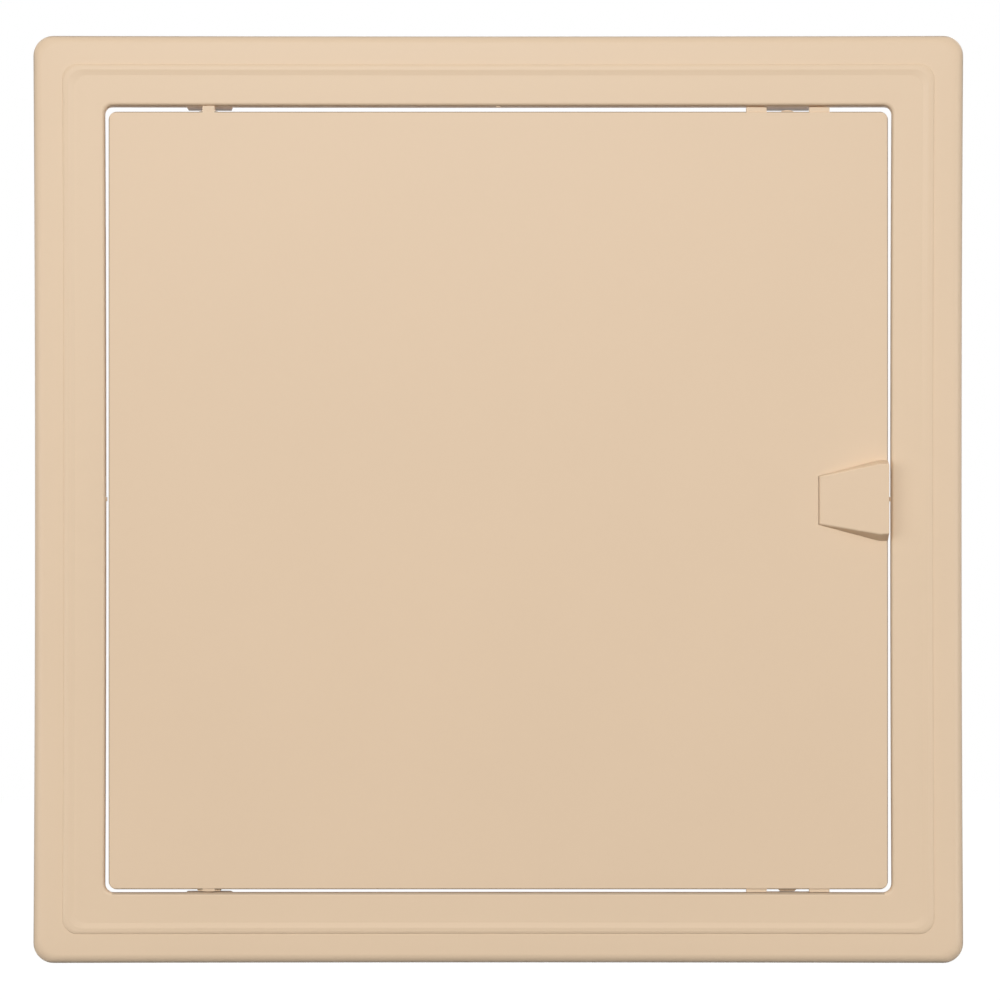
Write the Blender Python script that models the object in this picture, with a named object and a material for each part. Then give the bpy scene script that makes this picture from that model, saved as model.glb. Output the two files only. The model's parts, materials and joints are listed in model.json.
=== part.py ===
"""Square access panel: a collared frame and a door that swings on two pins.

The panel stands upright in the XZ plane with its face towards -Y. The origin is the
centre of the rim's back plane, where the rim meets the board that it is set in.
All sizes are in metres.
"""

import math

import bmesh
import bpy
from mathutils import Matrix, Vector

# Collar, the sleeve that enters the cut-out
COLLAR_SIZE = 0.1960
COLLAR_DEPTH = 0.0150
COLLAR_WALL = 0.0014
COLLAR_LEAD_IN = 0.0006

# Rim, which covers the edge of the cut-out, and the lip inside it
RIM_OVERLAP = 0.0120
RIM_THICKNESS = 0.0030
RIM_CORNER_RADIUS = 0.0048
RIM_EDGE_ROLL = 0.0020
LIP_OVERHANG = 0.0036
LIP_THICKNESS = 0.0018
LIP_ROLL = 0.0006
OPENING_CORNER_RADIUS = 0.0021

# Raised bead round the rim, placed from the rim's outer edge
BEAD_OUTER_FOOT = 0.0075
BEAD_CREST = 0.0088
BEAD_INNER_FOOT = 0.0101
BEAD_HEIGHT = 0.0002
OUTER_BAND_DROP = 0.00025

# Groove in the rim's back, bridged by short ribs
GROOVE_OUTER_LAND = 0.0032
GROOVE_INNER_LAND = 0.0028
GROOVE_DEPTH = 0.0012
GROOVE_RIB_PITCH = 0.0280
GROOVE_RIB_THICKNESS = 0.0012

# Door, a flat skin with a skirt and stiffening ribs behind it
DOOR_SIDE_GAP = 0.00125
DOOR_END_GAP = 0.0015
DOOR_DROP = 0.0003
DOOR_SKIN = 0.0020
DOOR_DEPTH = 0.0050
DOOR_SKIRT_WALL = 0.0016
DOOR_CORNER_RADIUS = 0.0019
DOOR_EDGE_ROLL = 0.0004
DOOR_RIB_SPACING = 0.0610
DOOR_RIB_THICKNESS = 0.0012
DOOR_RIB_HEIGHT = 0.0020

# Hinge and catch positions, and the frame's lugs that serve them
FITTING_INSET = 0.02355
HINGE_LUG_WIDTH = 0.0110
CATCH_LUG_WIDTH = 0.0102
UPPER_HINGE_LUG_DEPTH = 0.0066
UPPER_CATCH_LUG_DEPTH = 0.0058
LOWER_HINGE_LUG_DEPTH = 0.0038
LOWER_CATCH_LUG_DEPTH = 0.0024
LUG_END_SLANT = 0.0005
LUG_PROUD = 0.0001

# Hinge pins, each with a wide neck in the gap, and the pad on the door that rests on the lower neck
PIN_DIAMETER = 0.0018
PIN_AXIS_DEPTH = 0.0016
PIN_SHANK = 0.0080
PIN_REACH = 0.0040
PIN_TIP_CHAMFER = 0.0003
PIN_NECK_DIAMETER = 0.0028
PIN_HOLE_DEPTH = 0.0032
PAD_BASE_WIDTH = 0.0059
PAD_TIP_WIDTH = 0.0052
PAD_HEIGHT = 0.0004
PAD_SET_BACK = 0.0008
BOSS_WIDTH = 0.0059
BOSS_LENGTH = 0.0070

# Catches, with the tabs beside them and the ledges that the tabs land on
CATCH_PLATE_WIDTH = 0.0092
CATCH_PLATE_THICKNESS = 0.0012
NOSE_BASE_WIDTH = 0.0044
NOSE_TIP_WIDTH = 0.0034
NOSE_REACH = 0.0009
NOSE_SET_BACK = 0.0015
NOSE_LENGTH = 0.0022
TAB_WIDTH = 0.0048
TAB_SET_BACK = 0.0003
TAB_THICKNESS = 0.0009
LEDGE_REACH = 0.0009
LEDGE_INSET = 0.0003

# Finger pull, a hollow wedge that opens at the door's free edge
PULL_LENGTH = 0.0162
PULL_HEEL_WIDTH = 0.0115
PULL_MOUTH_WIDTH = 0.0189
PULL_MOUTH_LAND = 0.0022
PULL_HEEL_HEIGHT = 0.0004
PULL_MOUTH_HEIGHT = 0.0033
PULL_SIDE_SLOPE = math.radians(25)
PULL_WALL = 0.0012
PULL_FLANGE_WIDTH = 0.0015
PULL_FLANGE_THICKNESS = 0.0010

# Moulding gate stubs left on the opening's wall
GATE_WIDTH = 0.0010
GATE_PROUD = 0.0003
GATE_LENGTH = 0.0006

# Clearances
SEAT_GAP = 0.0003
SEAM_GAP = 0.0002
SHOULDER_GAP = 0.0001
RUNNING_GAP = 0.0002
TAB_END_GAP_TOP = 0.0005
TAB_END_GAP_BOTTOM = 0.00015
EMBED = 0.0003

# Smoothness of the round forms
CORNER_STEPS = 8
ROLL_STEPS = 4
BEAD_STEPS = 4
PIN_STEPS = 24
SHARP_ANGLE = math.radians(35)
FLATNESS = 1e-7

# Places that follow from the driving dimensions
collar_half = COLLAR_SIZE / 2
collar_inner_half = collar_half - COLLAR_WALL
rim_half = collar_half + RIM_OVERLAP
opening_half = collar_inner_half - LIP_OVERHANG
face_y = -RIM_THICKNESS
lip_back_y = face_y + LIP_THICKNESS
door_half_width = opening_half - DOOR_SIDE_GAP
door_half_height = opening_half - DOOR_END_GAP
door_z = -DOOR_DROP
skin_back_y = face_y + DOOR_SKIN
door_back_y = face_y + DOOR_DEPTH
fitting_x = door_half_width - FITTING_INSET
pin_y = face_y + PIN_AXIS_DEPTH
pin_radius = PIN_DIAMETER / 2
hinge_origin = Vector((-fitting_x, pin_y, door_z))


def arc(centre, radius, start, end, steps):
    """Points on an arc, as pairs, from the start angle to the end angle in degrees."""
    points = []
    for step in range(steps + 1):
        angle = math.radians(start + (end - start) * step / steps)
        points.append((centre[0] + radius * math.cos(angle), centre[1] + radius * math.sin(angle)))
    return points


def rounded_loop(half_width, half_height, radius, y, z=0.0):
    """A loop of points round a rectangle with round corners, in the plane at y."""
    points = []
    for quarter, (side_x, side_z) in enumerate(((1, 1), (-1, 1), (-1, -1), (1, -1))):
        centre = (side_x * (half_width - radius), z + side_z * (half_height - radius))
        for px, pz in arc(centre, radius, 90 * quarter, 90 * quarter + 90, CORNER_STEPS):
            points.append(Vector((px, y, pz)))
    return points


def circle_loop(x, y, z, radius):
    """A loop of points round an upright axis."""
    return [Vector((px, py, z)) for px, py in arc((x, y), radius, 0, 360, PIN_STEPS)[:-1]]


def box(low, high):
    """A box between two corners, as two loops for loft."""
    outline = ((low[0], low[2]), (high[0], low[2]), (high[0], high[2]), (low[0], high[2]))
    return [[Vector((x, y, z)) for x, z in outline] for y in (low[1], high[1])]


def loft(bm, loops, ring=False):
    """Join loops of equal length in order, closed by end caps or, in a ring, on themselves."""
    rows = [[bm.verts.new(point) for point in loop] for loop in loops]
    pairs = list(zip(rows, rows[1:]))
    if ring:
        pairs.append((rows[-1], rows[0]))
    else:
        bm.faces.new(rows[0])
        bm.faces.new(rows[-1][::-1])
    for first, second in pairs:
        for index in range(len(first)):
            after = (index + 1) % len(first)
            bm.faces.new((first[index], second[index], second[after], first[after]))


def is_bent(face):
    """Whether the face's corners don't lie in one plane."""
    centre = face.calc_center_median()
    return any(abs((vert.co - centre).dot(face.normal)) > FLATNESS for vert in face.verts)


def make_object(name, shapes, ring=False):
    """A mesh object made of one or more lofts that don't touch each other."""
    bm = bmesh.new()
    for loops in shapes:
        loft(bm, loops, ring)
    bm.normal_update()
    bmesh.ops.triangulate(bm, faces=[face for face in bm.faces if is_bent(face)])
    bmesh.ops.recalc_face_normals(bm, faces=bm.faces[:])
    mesh = bpy.data.meshes.new(name)
    bm.to_mesh(mesh)
    bm.free()
    obj = bpy.data.objects.new(name, mesh)
    bpy.context.scene.collection.objects.link(obj)
    return obj


def combine(target, shapes, operation):
    """Add shapes to the target, or cut them out of it, and keep the result."""
    tool = make_object(target.name + "_tool", shapes)
    modifier = target.modifiers.new(operation.lower(), "BOOLEAN")
    modifier.operation = operation
    modifier.solver = "EXACT"
    modifier.object = tool
    evaluated = target.evaluated_get(bpy.context.evaluated_depsgraph_get())
    result = bpy.data.meshes.new_from_object(evaluated)
    target.modifiers.clear()
    target.data = result
    bpy.data.objects.remove(tool)


def finish(obj, colour, roughness):
    """Shade the piece and give it a plastic of its own."""
    obj.data.name = obj.name
    obj.data.shade_smooth()
    obj.data.set_sharp_from_angle(angle=SHARP_ANGLE)
    material = bpy.data.materials.new(obj.name)
    material.use_nodes = True
    shader = material.node_tree.nodes["Principled BSDF"]
    shader.inputs["Base Color"].default_value = (*colour, 1.0)
    shader.inputs["Roughness"].default_value = roughness
    shader.inputs["Metallic"].default_value = 0.0
    obj.data.materials.clear()
    obj.data.materials.append(material)


def hang(obj, pivot):
    """Move the piece's origin to the hinge axis and parent it to the pivot."""
    obj.data.transform(Matrix.Translation(-hinge_origin))
    obj.parent = pivot


def corner_radius(half):
    """Corner radius of the frame's outlines, which tightens from the rim to the opening."""
    share = (half - opening_half) / (rim_half - opening_half)
    return OPENING_CORNER_RADIUS + (RIM_CORNER_RADIUS - OPENING_CORNER_RADIUS) * share


def bead_flank(foot, height):
    """Arc from the bead's crest down to one foot, level at the crest, as (half, y) pairs."""
    crest_half = rim_half - BEAD_CREST
    crest_y = face_y - BEAD_HEIGHT
    run = abs(foot - crest_half)
    radius = (run ** 2 + height ** 2) / (2 * height)
    span = math.degrees(math.asin(min(run / radius, 1.0)))
    side = 1 if foot > crest_half else -1
    return arc((crest_half, crest_y + radius), radius, -90, -90 + side * span, BEAD_STEPS)


def frame_profile():
    """The frame's cross-section as (half size, y) pairs, from the outer edge inwards."""
    band_y = face_y + OUTER_BAND_DROP
    roll_centre = (rim_half - RIM_EDGE_ROLL, band_y + RIM_EDGE_ROLL)
    outer_flank = bead_flank(rim_half - BEAD_OUTER_FOOT, OUTER_BAND_DROP + BEAD_HEIGHT)
    inner_flank = bead_flank(rim_half - BEAD_INNER_FOOT, BEAD_HEIGHT)
    lip_centre = (opening_half + LIP_ROLL, face_y + LIP_ROLL)
    groove_outer = rim_half - GROOVE_OUTER_LAND
    groove_inner = collar_half + GROOVE_INNER_LAND
    profile = [(rim_half, 0.0)]
    profile += arc(roll_centre, RIM_EDGE_ROLL, 0, -90, ROLL_STEPS)
    profile += outer_flank[::-1]
    profile += inner_flank[1:]
    profile += arc(lip_centre, LIP_ROLL, -90, -180, ROLL_STEPS)
    profile += [(opening_half, lip_back_y), (collar_inner_half, lip_back_y)]
    profile += [(collar_inner_half, COLLAR_DEPTH)]
    profile += [(collar_half - COLLAR_LEAD_IN, COLLAR_DEPTH), (collar_half, COLLAR_DEPTH - COLLAR_LEAD_IN)]
    profile += [(collar_half, 0.0), (groove_inner, 0.0), (groove_inner, -GROOVE_DEPTH)]
    profile += [(groove_outer, -GROOVE_DEPTH), (groove_outer, 0.0)]
    return profile


def groove_ribs():
    """Short ribs across the groove in the rim's back, on all four sides."""
    low = collar_half + GROOVE_INNER_LAND - EMBED
    high = rim_half - GROOVE_OUTER_LAND + EMBED
    front = -GROOVE_DEPTH - EMBED
    back = -SEAM_GAP
    half_rib = GROOVE_RIB_THICKNESS / 2
    count = int((collar_half - RIM_CORNER_RADIUS) / GROOVE_RIB_PITCH)
    shapes = []
    for step in range(-count, count + 1):
        place = step * GROOVE_RIB_PITCH
        for near, far in ((low, high), (-high, -low)):
            shapes.append(box((place - half_rib, front, near), (place + half_rib, back, far)))
            shapes.append(box((near, front, place - half_rib), (far, back, place + half_rib)))
    return shapes


def lug(side_x, side_z):
    """A block behind the lip that takes a pin or stands over a catch."""
    if side_x < 0:
        half = HINGE_LUG_WIDTH / 2
        depth = UPPER_HINGE_LUG_DEPTH if side_z > 0 else LOWER_HINGE_LUG_DEPTH
    else:
        half = CATCH_LUG_WIDTH / 2
        depth = UPPER_CATCH_LUG_DEPTH if side_z > 0 else LOWER_CATCH_LUG_DEPTH
    front = face_y + LIP_ROLL
    back = face_y + depth
    inner = side_x * (fitting_x - half)
    outer = side_x * (fitting_x + half)
    outline = [(inner, front), (outer, front), (outer, back)]
    outline += [(side_x * (fitting_x - half + LUG_END_SLANT), back), (inner, lip_back_y)]
    near = side_z * (opening_half - LUG_PROUD)
    far = side_z * (collar_inner_half + EMBED)
    return [[Vector((x, y, z)) for x, y in outline] for z in (near, far)]


def ledge(side_tab, side_z):
    """A step behind the lip, under one of the door's tabs, that stops the closing door."""
    start = fitting_x + side_tab * (CATCH_LUG_WIDTH / 2 + LEDGE_INSET)
    end = fitting_x + side_tab * (CATCH_LUG_WIDTH / 2 + TAB_WIDTH - LEDGE_INSET)
    front = face_y + TAB_SET_BACK + TAB_THICKNESS + SEAT_GAP
    near = side_z * (opening_half - LEDGE_REACH)
    far = side_z * (opening_half + LIP_OVERHANG / 2)
    low = (min(start, end), front, min(near, far))
    high = (max(start, end), -EMBED, max(near, far))
    return box(low, high)


def gate_stubs():
    """The stubs left by the mould's gates at the middle of three sides of the opening."""
    near = opening_half - GATE_PROUD
    far = opening_half + EMBED
    front = face_y + LIP_ROLL
    back = front + GATE_LENGTH
    half = GATE_WIDTH / 2
    return [
        box((-half, front, near), (half, back, far)),
        box((-far, front, -half), (-near, back, half)),
        box((near, front, -half), (far, back, half)),
    ]


def pin_hole(side_z, start, end, radius):
    """An upright round hole on the hinge axis between two heights."""
    return [circle_loop(-fitting_x, pin_y, side_z * height, radius) for height in (start, end)]


def make_frame():
    """Rim, lip and collar in one moulding, with the lugs and ledges inside it."""
    loops = [rounded_loop(half, half, corner_radius(half), y) for half, y in frame_profile()]
    frame = make_object("frame", [loops], ring=True)
    combine(frame, groove_ribs(), "UNION")
    combine(frame, [lug(x, z) for x in (-1, 1) for z in (-1, 1)], "UNION")
    combine(frame, [ledge(x, z) for x in (-1, 1) for z in (-1, 1)], "UNION")
    combine(frame, gate_stubs(), "UNION")
    mouth = opening_half - LUG_PROUD - EMBED
    end = opening_half + PIN_HOLE_DEPTH
    holes = [pin_hole(z, mouth, end, pin_radius + RUNNING_GAP) for z in (-1, 1)]
    combine(frame, holes, "DIFFERENCE")
    return frame


def door_loop(inset, y):
    """One of the door's outlines, drawn in from its edge."""
    radius = max(DOOR_CORNER_RADIUS - inset, EMBED)
    return rounded_loop(door_half_width - inset, door_half_height - inset, radius, y, door_z)


def door_shell():
    """Front skin with a rolled edge, and the skirt round its back."""
    roll = arc((DOOR_EDGE_ROLL, face_y + DOOR_EDGE_ROLL), DOOR_EDGE_ROLL, -90, -180, ROLL_STEPS)
    loops = [door_loop(inset, y) for inset, y in roll]
    loops += [door_loop(0.0, door_back_y), door_loop(DOOR_SKIRT_WALL, door_back_y)]
    loops += [door_loop(DOOR_SKIRT_WALL, skin_back_y)]
    return loops


def door_ribs(upright):
    """Two stiffening ribs across the door's back."""
    reach_x = door_half_width - DOOR_SKIRT_WALL / 2
    reach_z = door_half_height - DOOR_SKIRT_WALL / 2
    half = DOOR_RIB_THICKNESS / 2
    front = skin_back_y - EMBED
    back = skin_back_y + DOOR_RIB_HEIGHT
    ribs = []
    for place in (-DOOR_RIB_SPACING / 2, DOOR_RIB_SPACING / 2):
        if upright:
            ribs.append(box((place - half, front, door_z - reach_z), (place + half, back, door_z + reach_z)))
        else:
            middle = door_z + place
            ribs.append(box((-reach_x, front, middle - half), (reach_x, back, middle + half)))
    return ribs


def span(side, start, end):
    """Two heights measured from the door's middle towards one of its ends, in rising order."""
    heights = (door_z + side * start, door_z + side * end)
    return min(heights), max(heights)


def pin_bosses():
    """Blocks behind the skin that hold the pins' shanks."""
    skirt_middle = door_half_height - DOOR_SKIRT_WALL / 2
    bosses = []
    for side in (-1, 1):
        low, high = span(side, door_half_height - DOOR_SKIRT_WALL - BOSS_LENGTH, skirt_middle)
        near = (-fitting_x - BOSS_WIDTH / 2, skin_back_y - EMBED, low)
        bosses.append(box(near, (-fitting_x + BOSS_WIDTH / 2, door_back_y - SEAM_GAP, high)))
    return bosses


def hinge_pad():
    """A low pad on the door's lower edge, round the pin, that carries the door's weight."""
    root = door_z - door_half_height + EMBED
    tip = door_z - door_half_height - PAD_HEIGHT
    outline = [(-PAD_BASE_WIDTH / 2, root), (PAD_BASE_WIDTH / 2, root)]
    outline += [(PAD_TIP_WIDTH / 2, tip), (-PAD_TIP_WIDTH / 2, tip)]
    depths = (face_y + PAD_SET_BACK, door_back_y - SEAM_GAP)
    return [[Vector((x - fitting_x, y, z)) for x, z in outline] for y in depths]


def catch_plate_span(side):
    """Heights between which a catch's plate stands behind the skirt."""
    outer = door_half_height - DOOR_SKIRT_WALL - SEAT_GAP
    return span(side, outer - CATCH_PLATE_THICKNESS, outer)


def catch_ribs():
    """Ribs that trap the catch plates against the skirt."""
    outer = door_half_height - DOOR_SKIRT_WALL - CATCH_PLATE_THICKNESS - 2 * SEAT_GAP
    half = CATCH_PLATE_WIDTH / 2
    ribs = []
    for side in (-1, 1):
        low, high = span(side, outer - DOOR_RIB_THICKNESS, outer)
        near = (fitting_x - half, skin_back_y - EMBED, low)
        ribs.append(box(near, (fitting_x + half, skin_back_y + DOOR_RIB_HEIGHT, high)))
    return ribs


def catch_window(side):
    """Opening in the skirt that a catch's nose looks out of."""
    half = NOSE_BASE_WIDTH / 2 + SEAT_GAP
    front = face_y + NOSE_SET_BACK - SEAT_GAP
    inner = door_half_height - DOOR_SKIRT_WALL - SEAT_GAP - CATCH_PLATE_THICKNESS
    low, high = span(side, inner, door_half_height + EMBED)
    back = front + NOSE_LENGTH + 2 * SEAT_GAP
    return box((fitting_x - half, front, low), (fitting_x + half, back, high))


def tab(side_tab, side):
    """A tab that fills the gap beside a lug and lands on its ledge."""
    start = fitting_x + side_tab * CATCH_LUG_WIDTH / 2
    end = start + side_tab * TAB_WIDTH
    end_gap = TAB_END_GAP_TOP if side > 0 else TAB_END_GAP_BOTTOM
    root = door_z + side * (door_half_height - DOOR_SKIRT_WALL / 2)
    tip = side * (opening_half - end_gap)
    front = face_y + TAB_SET_BACK
    low = (min(start, end), front, min(root, tip))
    high = (max(start, end), front + TAB_THICKNESS, max(root, tip))
    return box(low, high)


def pull_outline(grow, last):
    """The pull's outline on the door's face, grown outwards, from the heel to the distance last.

    Each entry is the distance from the heel and half the width there.
    """
    taper_end = PULL_LENGTH - PULL_MOUTH_LAND
    heel_half = PULL_HEEL_WIDTH / 2
    mouth_half = PULL_MOUTH_WIDTH / 2
    side_angle = math.atan2(mouth_half - heel_half, taper_end)
    heel_corner = heel_half + grow * (1 / math.cos(side_angle) - math.tan(side_angle))
    return [(-grow, heel_corner), (taper_end, mouth_half + grow), (last, mouth_half + grow)]


def pull_loop(outline, depth_at):
    """A closed loop on the door, from an outline and a rule that gives y at each distance."""
    heel_x = door_half_width - PULL_LENGTH
    right = [Vector((heel_x + along, depth_at(along), door_z + half)) for along, half in outline]
    left = [Vector((heel_x + along, depth_at(along), door_z - half)) for along, half in outline]
    return left + right[::-1]


def pull_height(along):
    """Height of the pull's top above the door's face."""
    return PULL_HEEL_HEIGHT + (PULL_MOUTH_HEIGHT - PULL_HEEL_HEIGHT) * along / PULL_LENGTH


def pull_prism(grow, last, front, back):
    """The pull's outline as a straight prism between two depths."""
    outline = pull_outline(grow, last)
    return [pull_loop(outline, lambda along: front), pull_loop(outline, lambda along: back)]


def make_door():
    """Door skin, skirt, ribs, bosses and tabs, cut for the pins, the catches and the pull."""
    door = make_object("door_panel", [door_shell()])
    combine(door, door_ribs(True), "UNION")
    combine(door, door_ribs(False), "UNION")
    combine(door, pin_bosses(), "UNION")
    combine(door, [hinge_pad()], "UNION")
    shank_end = door_half_height - PIN_SHANK - SEAT_GAP
    holes = []
    for side in (-1, 1):
        low, high = span(side, shank_end, door_half_height + PAD_HEIGHT + EMBED)
        radius = pin_radius + RUNNING_GAP
        holes.append([circle_loop(-fitting_x, pin_y, z, radius) for z in (low, high)])
    combine(door, holes, "DIFFERENCE")
    combine(door, catch_ribs(), "UNION")
    combine(door, [tab(t, s) for t in (-1, 1) for s in (-1, 1)], "UNION")
    combine(door, [catch_window(side) for side in (-1, 1)], "DIFFERENCE")
    cutout = pull_prism(SEAM_GAP, PULL_LENGTH + EMBED, face_y - EMBED, skin_back_y + SEAT_GAP)
    combine(door, [cutout], "DIFFERENCE")
    return door


def make_pull():
    """Hollow wedge with a flange behind the skin, open at the mouth and at the back."""
    slope = math.tan(PULL_SIDE_SLOPE)
    base = pull_outline(0.0, PULL_LENGTH)
    top = []
    for along, half in base:
        start = along + pull_height(0.0) * slope if along == 0.0 else along
        top.append((start, half - pull_height(start) * slope))
    wedge = [
        pull_loop(base, lambda along: skin_back_y),
        pull_loop(base, lambda along: face_y),
        pull_loop(top, lambda along: face_y - pull_height(along)),
    ]
    stem_end = PULL_LENGTH - DOOR_SKIRT_WALL - SEAT_GAP
    flange_front = skin_back_y + SEAT_GAP
    flange_back = flange_front + PULL_FLANGE_THICKNESS
    stem = pull_prism(-SHOULDER_GAP, stem_end, face_y, flange_back)
    flange = pull_prism(PULL_FLANGE_WIDTH, stem_end, flange_front, flange_back)
    pull = make_object("finger_pull", [wedge])
    combine(pull, [stem], "UNION")
    combine(pull, [flange], "UNION")

    pitch = math.atan2(PULL_MOUTH_HEIGHT - PULL_HEEL_HEIGHT, PULL_LENGTH)
    roof = PULL_WALL / math.cos(pitch)
    hollow_base = pull_outline(-PULL_WALL, PULL_LENGTH + EMBED)
    hollow_top = [(along, half - max(pull_height(along) - roof, 0.0) * slope) for along, half in hollow_base]
    hollow = [
        pull_loop(hollow_base, lambda along: flange_back + EMBED),
        pull_loop(hollow_top, lambda along: face_y - pull_height(along) + roof),
    ]
    combine(pull, [hollow], "DIFFERENCE")
    return pull


def make_pin(name, side):
    """Round pin with a shank in the door, a wide neck in the gap and a tip in the frame's lug."""
    edge = door_half_height + SHOULDER_GAP + (PAD_HEIGHT if side < 0 else 0.0)
    neck_end = opening_half - LUG_PROUD - RUNNING_GAP - side * door_z
    tip = door_half_height + PIN_REACH
    steps = [
        (door_half_height - PIN_SHANK, pin_radius),
        (edge, pin_radius),
        (edge, PIN_NECK_DIAMETER / 2),
        (neck_end, PIN_NECK_DIAMETER / 2),
        (neck_end, pin_radius),
        (tip - PIN_TIP_CHAMFER, pin_radius),
        (tip, pin_radius - PIN_TIP_CHAMFER),
    ]
    loops = [circle_loop(-fitting_x, pin_y, door_z + side * z, radius) for z, radius in steps]
    return make_object(name, [loops])


def make_catch(name, side):
    """Plate behind the skirt with a nose that reaches towards the frame's lug."""
    low, high = catch_plate_span(side)
    half = CATCH_PLATE_WIDTH / 2
    near = (fitting_x - half, skin_back_y + SEAT_GAP, low)
    plate = box(near, (fitting_x + half, door_back_y - SEAM_GAP, high))
    catch = make_object(name, [plate])

    base = NOSE_BASE_WIDTH / 2
    tip = NOSE_TIP_WIDTH / 2
    root = door_half_height - DOOR_SKIRT_WALL - SEAT_GAP - CATCH_PLATE_THICKNESS / 2
    shoulder = door_half_height + NOSE_REACH / 2
    outline = [(-base, root), (-base, door_half_height), (-(base + tip) / 2, shoulder)]
    outline += [(-tip, door_half_height + NOSE_REACH), (tip, door_half_height + NOSE_REACH)]
    outline += [((base + tip) / 2, shoulder), (base, door_half_height), (base, root)]
    front = face_y + NOSE_SET_BACK
    nose = [
        [Vector((fitting_x + x, y, door_z + side * z)) for x, z in outline]
        for y in (front, front + NOSE_LENGTH)
    ]
    combine(catch, [nose], "UNION")
    return catch


def main():
    for obj in list(bpy.data.objects):
        bpy.data.objects.remove(obj)

    beige = (0.77, 0.59, 0.42)
    frame = make_frame()
    finish(frame, beige, 0.42)

    pivot = bpy.data.objects.new("door_pivot", None)
    pivot.empty_display_size = 0.02
    pivot.location = hinge_origin
    bpy.context.scene.collection.objects.link(pivot)

    moving = [
        make_door(),
        make_pull(),
        make_pin("hinge_pin_top", 1),
        make_pin("hinge_pin_bottom", -1),
        make_catch("catch_top", 1),
        make_catch("catch_bottom", -1),
    ]
    for piece in moving:
        finish(piece, beige, 0.42)
        hang(piece, pivot)


main()
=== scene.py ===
"""Finished pieces of a square access panel: frame, door, finger pull, pins and catches.

The file is laid out as an add-on and is run as a script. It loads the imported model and
makes a finely shaped, finished piece for each of its nodes, in a plain studio.
All sizes are in metres, with the face towards -Y and +Z up.
"""

import json
import math

import bmesh
import bpy
import numpy as np
from bpy.props import FloatProperty, FloatVectorProperty, IntProperty, PointerProperty
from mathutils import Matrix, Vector

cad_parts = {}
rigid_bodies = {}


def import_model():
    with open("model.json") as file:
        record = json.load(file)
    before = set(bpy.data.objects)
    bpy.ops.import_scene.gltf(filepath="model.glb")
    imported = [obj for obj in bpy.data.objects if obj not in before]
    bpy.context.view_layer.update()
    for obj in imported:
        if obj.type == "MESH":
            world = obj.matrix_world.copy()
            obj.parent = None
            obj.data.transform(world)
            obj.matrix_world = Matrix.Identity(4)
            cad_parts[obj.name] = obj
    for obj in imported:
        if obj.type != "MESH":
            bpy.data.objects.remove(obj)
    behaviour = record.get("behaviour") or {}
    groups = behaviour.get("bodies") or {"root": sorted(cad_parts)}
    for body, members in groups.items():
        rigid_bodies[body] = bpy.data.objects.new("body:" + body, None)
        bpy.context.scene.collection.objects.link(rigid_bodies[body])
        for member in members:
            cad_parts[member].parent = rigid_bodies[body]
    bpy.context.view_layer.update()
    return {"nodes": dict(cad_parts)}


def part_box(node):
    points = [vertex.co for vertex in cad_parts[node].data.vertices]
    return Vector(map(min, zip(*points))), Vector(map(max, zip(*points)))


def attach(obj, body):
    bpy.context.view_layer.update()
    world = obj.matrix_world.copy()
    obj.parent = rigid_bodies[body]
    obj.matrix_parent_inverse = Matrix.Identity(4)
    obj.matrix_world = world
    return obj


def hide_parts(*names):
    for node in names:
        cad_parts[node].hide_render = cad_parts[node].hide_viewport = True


bl_info = {
    "name": "Access Panel",
    "version": (1, 0, 0),
    "blender": (4, 5, 0),
    "location": "3D View > Sidebar > Access Panel",
    "description": "Makes the finished pieces of a square access panel round its packed model",
    "category": "Object",
}

for leftover in list(bpy.data.objects):
    bpy.data.objects.remove(leftover)
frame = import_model()
frame_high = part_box("frame")[1]
door_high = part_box("door_panel")[1]
pin_low, pin_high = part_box("hinge_pin_top")
catch_low, catch_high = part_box("catch_top")

# Left and right, or bottom and top
SIDES = (-1, 1)

# Small lengths that no user would change
EMBED = 0.0003
SEAT_GAP = 0.0003
SHOULDER_GAP = 0.0001
RUNNING_GAP = 0.0002
LUG_PROUD = 0.0001
PAD_BOSS_SET_BACK = 0.0002
SKIRT_DRAFT = 0.0001
SWEEP_INSET = 0.0030
POLE_MERGE = 0.000001

# Roundings of edges from hair-fine to full, then those of single places
HAIR_ROUND = 0.00003
CRISP_ROUND = 0.00008
FINE_ROUND = 0.0001
CLEAN_ROUND = 0.00015
SMALL_ROUND = 0.0002
PLAIN_ROUND = 0.00025
SOFT_ROUND = 0.0003
FULL_ROUND = 0.0004
BEAD_ROUND = 0.0010
BEAD_FOOT_ROUND = 0.0012
BAND_FOOT_ROUND = 0.00005
PAD_BOSS_ROUND = 0.00018

# The two bends in the bead's outer side: how far in they lie and their share of the rise
BEAD_LOW_LEAN = 0.0001
BEAD_LOW_RISE = 0.40
BEAD_HIGH_LEAN = 0.0006
BEAD_HIGH_RISE = 0.85

# Steps of round shapes, and cuts along straight sides that let them bow
ROUND_STEPS = 3
FILLET_STEPS = 4
DOME_STEPS = 10
CORNER_STEPS = 12
TURNED_SIDES = 48
FRAME_SIDE_CUTS = 11
DOOR_SIDE_CUTS = 5
SHARP_ANGLE = math.radians(38)

# Masks that paint shade into the plastic's colour: the ramps at their edges and the width of the painted
# shade round the rim
MASK_RAMP = 0.00005
MASK_EDGE = 0.0004
RIM_SHADE_WIDTH = 0.0009

# Flow marks in the plastic: radians of a ripple per metre, and how many the noise adds
RIPPLE_RATE = 900
RIPPLE_WAVER = 7


def size(name, description, default):
    """A length that a user may change."""
    return FloatProperty(name=name, description=description, default=default, unit="LENGTH", precision=5)


def share(name, description, default):
    """A number between 0 and 1 that a user may change."""
    return FloatProperty(name=name, description=description, default=default, subtype="FACTOR",
                         min=0.0, max=1.0)


def incline(name, description, degrees):
    """An angle that a user may change."""
    return FloatProperty(name=name, description=description, default=math.radians(degrees), subtype="ANGLE")


def wattage(name, description, default):
    """A light's power that a user may change."""
    return FloatProperty(name=name, description=description, default=default, unit="POWER")


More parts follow.
